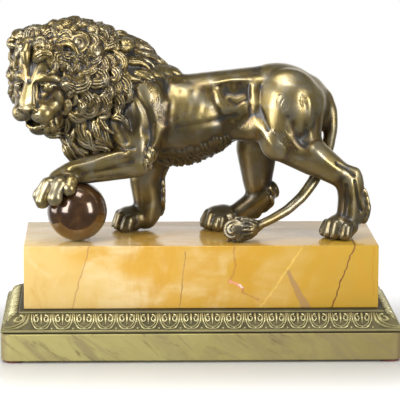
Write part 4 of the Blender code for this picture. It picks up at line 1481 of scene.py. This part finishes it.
def marble_finish():
    net = Net("yellow_marble_with_veins")
    group = run_distance_group()
    in_mm = net.mapped(net.place, scale=(1000, 0, 1000))
    wobble = {"Vector": in_mm, "Scale": BEND_SCALE, "Detail": 5.0}
    wobble = net.add("ShaderNodeTexNoise", wobble).outputs["Color"]
    wobble = net.vector("SUBTRACT", a=wobble, b=(0.5, 0.5, 0.5))
    bent = net.vector("ADD", a=in_mm, b=net.vector("SCALE", a=wobble, scale=BEND_MM))
    bent = net.vector("MULTIPLY", a=bent, b=FRONT)
    lines = {name: vein_line(net, group, bent, name) for name in VEINS}

    across = net.add("ShaderNodeSeparateXYZ", {0: in_mm}).outputs["X"]
    drift = net.noise(90, 3, 0.5, 0.6, (0.6, 1, 1.6))
    along = net.plus(net.maths("DIVIDE", across, 360.0), 0.5)
    along = net.plus(along, net.times(net.minus(drift, 0.5), 0.55))
    colour = net.ramp(along, STONE_COLOURS_WITH_PAINTED_LIGHT, smooth=True)
    cloud = net.noise(30, 5, 0.6, 0.5, (0.55, 1, 1.9))
    fade = net.times(net.minus(0.9, along), 1.6, clamp=True)
    patch = net.ramp(net.noise(50, 3, 0.5, 0.9), [(0.45, 0.0), (0.6, 1.0)])
    pale = net.times(net.times(patch, net.ramp(cloud, [(0.36, 0.25), (0.62, 1.0)])), fade)
    colour = net.mix(net.times(pale, 0.65), colour, (0.7, 0.56, 0.31))
    deep = net.ramp(net.noise(46, 5, 0.6, 1.2, (1.4, 1, 0.8)), [(0.5, 0.0), (0.75, 0.6)])
    colour = net.mix(deep, colour, (0.5, 0.25, 0.02))
    x, _, z = net.add("ShaderNodeSeparateXYZ", {0: bent}).outputs
    below_apex = net.minus(PLINTH_LOW.z / MM + 39.0, z)
    from_left = net.minus(x, net.plus(84.5, net.times(below_apex, 0.4)))
    from_right = net.minus(net.plus(89.0, net.times(below_apex, 0.57)), x)
    wedge = net.maths("MINIMUM", net.maths("MINIMUM", from_left, from_right), below_apex)
    wedge = net.times(net.ramp(wedge, [(0.0, 0.0), (0.9, 1.0)]), 0.8)
    colour = net.mix(wedge, colour, (0.34, 0.2, 0.085))
    pink_patches = net.ramp(net.noise(9, 3, 0.6), [(0.3, 0.25), (0.6, 1.0)])
    hair_patches = net.ramp(net.noise(11, 3, 0.6), [(0.35, 0.2), (0.6, 1.0)])
    for strength, tint in (
        (net.times(lines["pale"], 0.45), (0.8, 0.55, 0.13)),
        (net.times(net.times(lines["pink"], pink_patches), 0.75), (0.3, 0.12, 0.05)),
        (net.ramp(lines["rose"], [(0.3, 0.0), (0.75, 0.8)]), (0.66, 0.28, 0.17)),
        (net.ramp(lines["pearl"], [(0.3, 0.0), (0.7, 0.9)]), (0.8, 0.6, 0.5)),
        (net.times(lines["brown"], 0.6), (0.26, 0.09, 0.015)),
        (net.times(net.times(lines["hair"], hair_patches), 0.85), (0.16, 0.07, 0.01)),
        (net.times(lines["crack"], 0.97), (0.1, 0.014, 0.003)),
        (net.times(lines["red"], 0.55), (0.42, 0.13, 0.02)),
    ):
        colour = net.mix(strength, colour, tint)
    breaks = net.plus(net.plus(lines["brown"], lines["hair"]), lines["crack"], clamp=True)
    bumps = net.bump(net.minus(1.0, breaks), 0.5, 0.25)
    rough = net.plus(0.1, net.times(net.noise(20, 3), 0.12))
    rough = net.plus(rough, net.times(breaks, 0.4))
    net.shader.inputs["IOR"].default_value = 1.52
    net.shader.inputs["Specular IOR Level"].default_value = 0.6
    return net.finish(Base_Color=colour, Roughness=rough, Normal=bumps)


plinth.data.materials.append(marble_finish())
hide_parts("marble_plinth")
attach(plinth, "root")
print("plinth dressed")

# %% [markdown]
# ## The leaf moulding
# The brass moulding under the marble is a run of water leaves: each is a double U-shaped rim with a stem
# and two scrolls inside it, and a bead fills the gap at the foot of each pair. One leaf is modelled on the
# sloping profile, and Geometry Nodes sets it along all four sides. The corner leaves fan out over the
# mitres, so they are shaped apart, from half of the same leaf.

# %% Moulding profile
MOULD_LOW, MOULD_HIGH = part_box("leaf_moulding")
# Inset from the slab's edge and height of the ground that the leaves lie on, from foot to top
GROUND = [(2.2, 0.0), (2.2, 1.4), (0.3, 1.6), (0.0, 2.0), (0.0, 3.2), (0.8, 3.9), (2.9, 4.3), (4.3, 6.6)]
GROUND += [(6.0, 9.4), (8.8, 12.6), (12.6, 15.2), (15.6, 16.6)]
GROUND += [(17.4, 17.2), (17.6, 18.2), (18.4, 18.8), (18.4, 20.5)]
# How bright each line of the ground is: the recess and the cove are painted dark as shade, the lip and the
# fillet are rubbed to shine
GROUND_RUBBED_AND_SHADED = [0.0, 0.0, 0.4, 0.6, 0.6, 0.4, 0.14, 0.12, 0.12, 0.12, 0.12, 0.1, 0.0, 0.25, 0.35, 0.0]
SLOPE = GROUND[5:14]


def slope_at(share):
    """Inset, height and outward lean of the leafy slope, at a share of the way from its foot to its top."""
    lengths = [math.dist(a, b) for a, b in zip(SLOPE, SLOPE[1:])]
    goal = min(max(share, 0), 1) * sum(lengths)
    for (a, b), length in zip(zip(SLOPE, SLOPE[1:]), lengths):
        if goal <= length or b == SLOPE[-1]:
            part = min(1, goal / length)
            inset = a[0] + (b[0] - a[0]) * part
            height = a[1] + (b[1] - a[1]) * part
            lean = Vector((-(b[1] - a[1]), b[0] - a[0])).normalized()
            return inset, height, lean
        goal -= length


print("slope from", slope_at(0)[:2], "to", slope_at(1)[:2])

# %% One leaf
LEAF_PITCH = 21.45
SHORT_PITCH = 21.03
LEAF_RISE = 17.0
LEAF_HEIGHT = 1.9
STRIP_SIDES = 5
STRIP_FOOT = -0.7


def strip(paths):
    """Half-round strips along (u, v) paths with a half width and a height at each point."""
    clay = Clay()
    for path in paths:
        rings = []
        for i, (u, v, wide, high) in enumerate(path):
            before = path[max(0, i - 1)]
            after = path[min(len(path) - 1, i + 1)]
            along = Vector((after[0] - before[0], after[1] - before[1]))
            along = along.normalized() if along.length else Vector((0, 1))
            side = Vector((along.y, -along.x))
            ring = []
            for j in range(STRIP_SIDES + 1):
                angle = math.pi * j / STRIP_SIDES
                out = wide * math.cos(angle)
                ring.append((u + side.x * out, v + side.y * out, high * math.sin(angle)))
            for out in (-wide * 0.8, wide * 0.8):
                ring.append((u + side.x * out, v + side.y * out, STRIP_FOOT))
            rings.append(ring)
        clay.rings(rings, np.mean(rings[0], 0), np.mean(rings[-1], 0))
    return clay


def leaf_paths():
    paths = []
    for radius, wide, high in ((9.75, 0.95, 1.6), (7.75, 0.75, 1.3)):
        rim = [(-radius, 15.0, wide * 0.8, high * 0.6), (-radius, 13, wide, high)]
        for i in range(11):
            angle = math.pi + math.pi * i / 10
            rim.append((radius * math.cos(angle), 10.4 + radius * 0.98 * math.sin(angle), wide, high))
        rim += [(radius, 13, wide, high), (radius, 15.0, wide * 0.8, high * 0.6)]
        paths.append(rim)
    paths.append([(0, 15.2, 0.8, 0.8), (0, 13.4, 1.45, 1.9), (0, 9, 1.2, 1.8), (0, 4.9, 0.6, 0.9)])
    for side in (-1, 1):
        curl = []
        for i in range(10):
            angle = math.radians(105 - 44 * i)
            radius = 3.1 - 0.24 * i
            u = side * (4.5 + radius * math.cos(angle))
            curl.append((u, 9.8 + 1.3 * radius * math.sin(angle), 0.85, 1.6))
        paths.append(curl)
    paths.append([(-3.4, 2.0, 0.5, 0.7), (0, 1.3, 1.1, 1.9), (3.4, 2.0, 0.5, 0.7)])
    end = LEAF_PITCH / 2
    paths.append([(end, 0.2, 0.5, 0.6), (end, 1.4, 1.3, 1.9), (end, 2.7, 0.5, 0.6)])
    paths.append([(end, 3.6, 0.3, 0.4), (end, 7, 0.5, 1.0), (end, 15.0, 0.5, 0.9)])
    return paths


def on_slope(u, v, high):
    """A leaf's point on the moulding's front, with u along it, from the middle of its foot line."""
    inset, height, lean = slope_at(v / LEAF_RISE)
    return (u, inset + lean.x * high, height + lean.y * high)


leaf_clay = strip(leaf_paths())
flat_leaf = np.concatenate(leaf_clay.points)
leaf = mesh_object("leaf", [np.array(on_slope(*p)) * MM for p in flat_leaf], leaf_clay.faces)
store(leaf.data, "fine_relief", flat_leaf[:, 2] / LEAF_HEIGHT)
print("one leaf:", len(leaf.data.polygons), "faces")

# %% The run of leaves, in Geometry Nodes
RUN_SIZES = {
    "Leaves on a long side": ("NodeSocketInt", 16),
    "Leaves on a short side": ("NodeSocketInt", 6),
    "Long pitch": ("NodeSocketFloat", LEAF_PITCH * MM),
    "Short pitch": ("NodeSocketFloat", SHORT_PITCH * MM),
    "Half length": ("NodeSocketFloat", (MOULD_HIGH.x - MOULD_LOW.x) / 2),
    "Half depth": ("NodeSocketFloat", (MOULD_HIGH.y - MOULD_LOW.y) / 2),
    "Foot height": ("NodeSocketFloat", MOULD_LOW.z),
}


def leaf_run_tree(surface):
    """The tree, and the identifier of each of its size inputs."""
    tree = bpy.data.node_groups.new("leaf_run", "GeometryNodeTree")
    tree.interface.new_socket("Leaf", in_out="INPUT", socket_type="NodeSocketGeometry")
    keys = {}
    for name, (kind, _) in RUN_SIZES.items():
        keys[name] = tree.interface.new_socket(name, in_out="INPUT", socket_type=kind).identifier
    tree.interface.new_socket("Run", in_out="OUTPUT", socket_type="NodeSocketGeometry")
    net = Nodes(tree)
    begin = net.add("NodeGroupInput").outputs
    join = net.add("GeometryNodeJoinGeometry")
    for quarter in range(4):
        short = quarter % 2
        count = begin["Leaves on a short side" if short else "Leaves on a long side"]
        pitch = begin["Short pitch" if short else "Long pitch"]
        edge = begin["Half length" if short else "Half depth"]
        first = net.times(net.minus(count, 1), net.times(pitch, -0.5))
        start = {"X": first, "Y": net.times(edge, -1.0), "Z": begin["Foot height"]}
        start = net.add("ShaderNodeCombineXYZ", start).outputs[0]
        step = net.add("ShaderNodeCombineXYZ", {"X": pitch}).outputs[0]
        line = net.add("GeometryNodeMeshLine", {"Count": count, "Start Location": start, "Offset": step})
        leaves = {"Points": line.outputs[0], "Instance": begin["Leaf"]}
        leaves = net.add("GeometryNodeInstanceOnPoints", leaves).outputs[0]
        turned = {"Geometry": leaves, "Rotation": (0, 0, quarter * math.pi / 2)}
        net.put(net.add("GeometryNodeTransform", turned).outputs[0], join.inputs[0])
    real = net.add("GeometryNodeRealizeInstances", {0: join.outputs[0]}).outputs[0]
    painted = net.add("GeometryNodeSetMaterial", {0: real, "Material": surface}).outputs[0]
    net.add("NodeGroupOutput", {0: painted})
    return tree, keys


print("leaf run tree ready")

# %% [markdown]
# ## Brass
# The moulding is olive gold: dark in the ground and rubbed bright along rims and scrolls. Its cove under the
# marble and the recess at its foot are painted dark as shade. The slab below is plain and satin, with brown
# tarnish drawn out in slanting streaks, faint scratches and browner corners.

# %% Brass finishes
STREAK_SLANT = math.radians(-36)
LEAF_TONES = [(0.02, (0.07, 0.06, 0.032)), (0.2, (0.19, 0.165, 0.075))]
LEAF_TONES += [(0.5, (0.35, 0.31, 0.145)), (0.9, (0.56, 0.51, 0.28))]
SLAB_TONES = [(0.1, (0.51, 0.45, 0.17)), (0.42, (0.41, 0.345, 0.125)), (0.8, (0.29, 0.23, 0.082))]


def leaf_brass_finish():
    net = Net("olive_gold_leaf_brass")
    cloud = net.noise(30, 4, 0.55, 0.5)
    # rubbed also carries the painted shade of the ground's cove and recess
    rubbed = net.plus(net.attribute("fine_relief"), net.times(net.minus(cloud, 0.5), 0.35))
    rough = net.ramp(rubbed, [(0.1, 0.6), (0.8, 0.28)])
    bumps = net.bump(net.noise(1.8, 3, 0.6), 0.3, 0.12)
    return net.finish(Base_Color=net.ramp(rubbed, LEAF_TONES), Roughness=rough, Metallic=0.6, Normal=bumps)


def slab_brass_finish():
    net = Net("satin_olive_brass_slab")
    across = net.add("ShaderNodeSeparateXYZ", {0: net.place}).outputs["X"]
    along = net.maths("DIVIDE", across, (MOULD_HIGH.x - MOULD_LOW.x) / 2)
    cloud = net.noise(45, 4, 0.55, 0.9, (0.7, 1, 1.2))
    colour = net.ramp(net.plus(net.times(along, 0.32), net.times(cloud, 0.7)), SLAB_TONES)
    slanted = net.mapped(net.place, rotation=(0, STREAK_SLANT, 0))

    def drawn_out(long, thick, warp):
        values = {"Vector": net.mapped(slanted, scale=(1000 / long, 1, 1000 / thick)), "Scale": 1.0}
        values |= {"Detail": 5.0, "Roughness": 0.6, "Distortion": warp}
        return net.add("ShaderNodeTexNoise", values).outputs[0]

    browned = drawn_out(60, 17, 1.2)
    colour = net.mix(net.ramp(browned, [(0.45, 0.0), (0.65, 0.65)]), colour, (0.3, 0.235, 0.12))
    streaks = net.ramp(drawn_out(32, 5, 0.9), [(0.55, 0.0), (0.68, 0.7)])
    streaks = net.times(streaks, net.ramp(along, [(0.2, 1.0), (0.7, 0.35)]))
    streaks = net.times(streaks, net.ramp(browned, [(0.38, 0.2), (0.55, 1.0)]))
    colour = net.mix(streaks, colour, (0.17, 0.135, 0.055))
    corner = net.minus(net.maths("ABSOLUTE", along, 0.0), 0.955)
    corner = net.times(net.times(corner, 24.0, clamp=True), 0.6)
    colour = net.mix(corner, colour, (0.22, 0.15, 0.09))
    rough = net.plus(0.34, net.times(cloud, 0.3))
    bumps = net.bump(net.noise(2.6, 4, 0.6, 0, (0.3, 0.3, 1)), 0.2, 0.1)
    return net.finish(Base_Color=colour, Roughness=rough, Metallic=0.4, Normal=bumps)


leaf_brass = leaf_brass_finish()
slab_brass = slab_brass_finish()
print("brass:", leaf_brass.name, slab_brass.name)

# %% Set the leaves
tree, keys = leaf_run_tree(leaf_brass)
modifier = leaf.modifiers.new("leaf_run", "NODES")
modifier.node_group = tree
for name, (_, value) in RUN_SIZES.items():
    modifier[keys[name]] = value
run_mesh = final_mesh(leaf)
bpy.data.objects.remove(leaf)
print("run of leaves:", len(run_mesh.polygons), "faces")

# %% Corners and ground
HALF_SIZE = np.array(((MOULD_HIGH.x - MOULD_LOW.x) / 2, (MOULD_HIGH.y - MOULD_LOW.y) / 2)) / MM
MOULD_FOOT = MOULD_LOW.z / MM
QUARTERS = ((-1, -1), (1, -1), (1, 1), (-1, 1))
CORNER_ROOM = 29.9
MOULD_CREASE = math.radians(38)


def corner_leaf():
    """A leaf whose stem lies on the mitre, fanned out to fill each half of the corner."""
    right_half = []
    for path in leaf_paths()[:6]:
        if any(u > 0.5 for u, _, _, _ in path):
            right_half.append([(max(0.0, u), *rest) for u, *rest in path if u > -0.01])
    clay = strip(right_half)
    flat = np.concatenate(clay.points)
    points = []
    faces = []
    for half in (1, -1):
        base = len(points)
        for u, v, high in flat:
            inset, height, lean = slope_at(v / LEAF_RISE)
            x = inset + max(0.15, u) * (CORNER_ROOM - inset) / (LEAF_PITCH / 2 + 0.4)
            y = inset + lean.x * high
            points.append((*((x, y) if half > 0 else (y, x)), height + lean.y * high))
        faces.extend(tuple(i + base for i in face[::half]) for face in clay.faces)
    return np.array(points), faces


def ground_skin():
    """The moulding's plain body: its profile carried round four mitred corners."""
    points = []
    for inset, height in GROUND:
        for sx, sy in QUARTERS:
            points.append((sx * (HALF_SIZE[0] - inset), sy * (HALF_SIZE[1] - inset), height + MOULD_FOOT))
    faces = [(3, 2, 1, 0)]
    for row in range(len(GROUND) - 1):
        for i in range(4):
            j = (i + 1) % 4
            faces.append((row * 4 + i, row * 4 + j, row * 4 + 4 + j, row * 4 + 4 + i))
    top = (len(GROUND) - 1) * 4
    faces.append((top, top + 1, top + 2, top + 3))
    return np.array(points), faces


corners, corner_faces = corner_leaf()
print("one corner:", len(corner_faces), "faces")

# %% Join the moulding
whole = bmesh.new()
whole.from_mesh(run_mesh)
relief_layer = whole.verts.layers.float["fine_relief"]
pieces = [(*ground_skin(), np.repeat(GROUND_RUBBED_AND_SHADED, 4))]
for sx, sy in QUARTERS:
    x = sx * (HALF_SIZE[0] - corners[:, 0])
    y = sy * (HALF_SIZE[1] - corners[:, 1])
    placed = np.stack([x, y, corners[:, 2] + MOULD_FOOT], 1)
    pieces.append((placed, [face[::sx * sy] for face in corner_faces], np.full(len(placed), 0.5)))
for points, faces, relief in pieces:
    made = [whole.verts.new(p * MM) for p in points]
    for vertex, height in zip(made, relief):
        vertex[relief_layer] = float(height)
    for face in faces:
        whole.faces.new([made[i] for i in face])
moulding = built_object("leaf_moulding_cast", whole)
moulding.data.materials.clear()
moulding.data.materials.append(leaf_brass)
moulding.data.shade_smooth()
moulding.data.set_sharp_from_angle(angle=MOULD_CREASE)
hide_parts("leaf_moulding")
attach(moulding, "root")
print("moulding:", len(moulding.data.polygons), "faces")

# %% [markdown]
# ## Slab and pads
# The slab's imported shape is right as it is, so it only gets its finish. So do the four thin pads under
# it, which are red-brown felt.

# %% Slab and pads
def dress(node, surface):
    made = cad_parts[node]
    made.data.materials.clear()
    made.data.materials.append(surface)


def felt_finish():
    net = Net("red_brown_felt")
    fibre = net.noise(0.9, 4, 0.7)
    colour = net.ramp(fibre, [(0.3, (0.07, 0.02, 0.015)), (0.7, (0.2, 0.07, 0.05))])
    net.shader.inputs["Sheen Weight"].default_value = 0.3
    return net.finish(Base_Color=colour, Roughness=0.95, Normal=net.bump(fibre, 0.6, 0.3))


dress("base_slab", slab_brass)
felt = felt_finish()
for node in sorted(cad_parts):
    if node.startswith("foot_pad"):
        dress(node, felt)
print("slab and pads dressed")

# %% [markdown]
# ## Floor
# A plain pale floor, slightly glossy, so the brass slab is faintly mirrored in it as on a photographer's
# table. It is painted a little greyer around the slab, as a painted shadow of the base on the table.

# %% Floor
FLOOR_X = 0.9
FLOOR_Y = 0.8
FLOOR_TONES_WITH_PAINTED_SHADOW = [(0.0, (0.54, 0.535, 0.52)), (1.0, (0.96, 0.96, 0.96))]


def floor_finish():
    net = Net("pale_floor")
    x, y, _ = net.add("ShaderNodeSeparateXYZ", {0: net.place}).outputs
    beyond_end = net.minus(net.maths("ABSOLUTE", x, 0.0), MOULD_HIGH.x)
    beyond_side = net.minus(net.maths("ABSOLUTE", y, 0.0), MOULD_HIGH.y)
    # painted shadow: the floor's colour greys towards the slab
    distance = net.times(net.maths("MAXIMUM", beyond_end, beyond_side), 5.5)
    return net.finish(Base_Color=net.ramp(distance, FLOOR_TONES_WITH_PAINTED_SHADOW, smooth=True), Roughness=0.28)


floor = mesh_object("floor", [(sx * FLOOR_X, sy * FLOOR_Y, 0) for sx, sy in QUARTERS], [(0, 1, 2, 3)])
floor.data.materials.append(floor_finish())
floor.visible_glossy = False
print("floor laid")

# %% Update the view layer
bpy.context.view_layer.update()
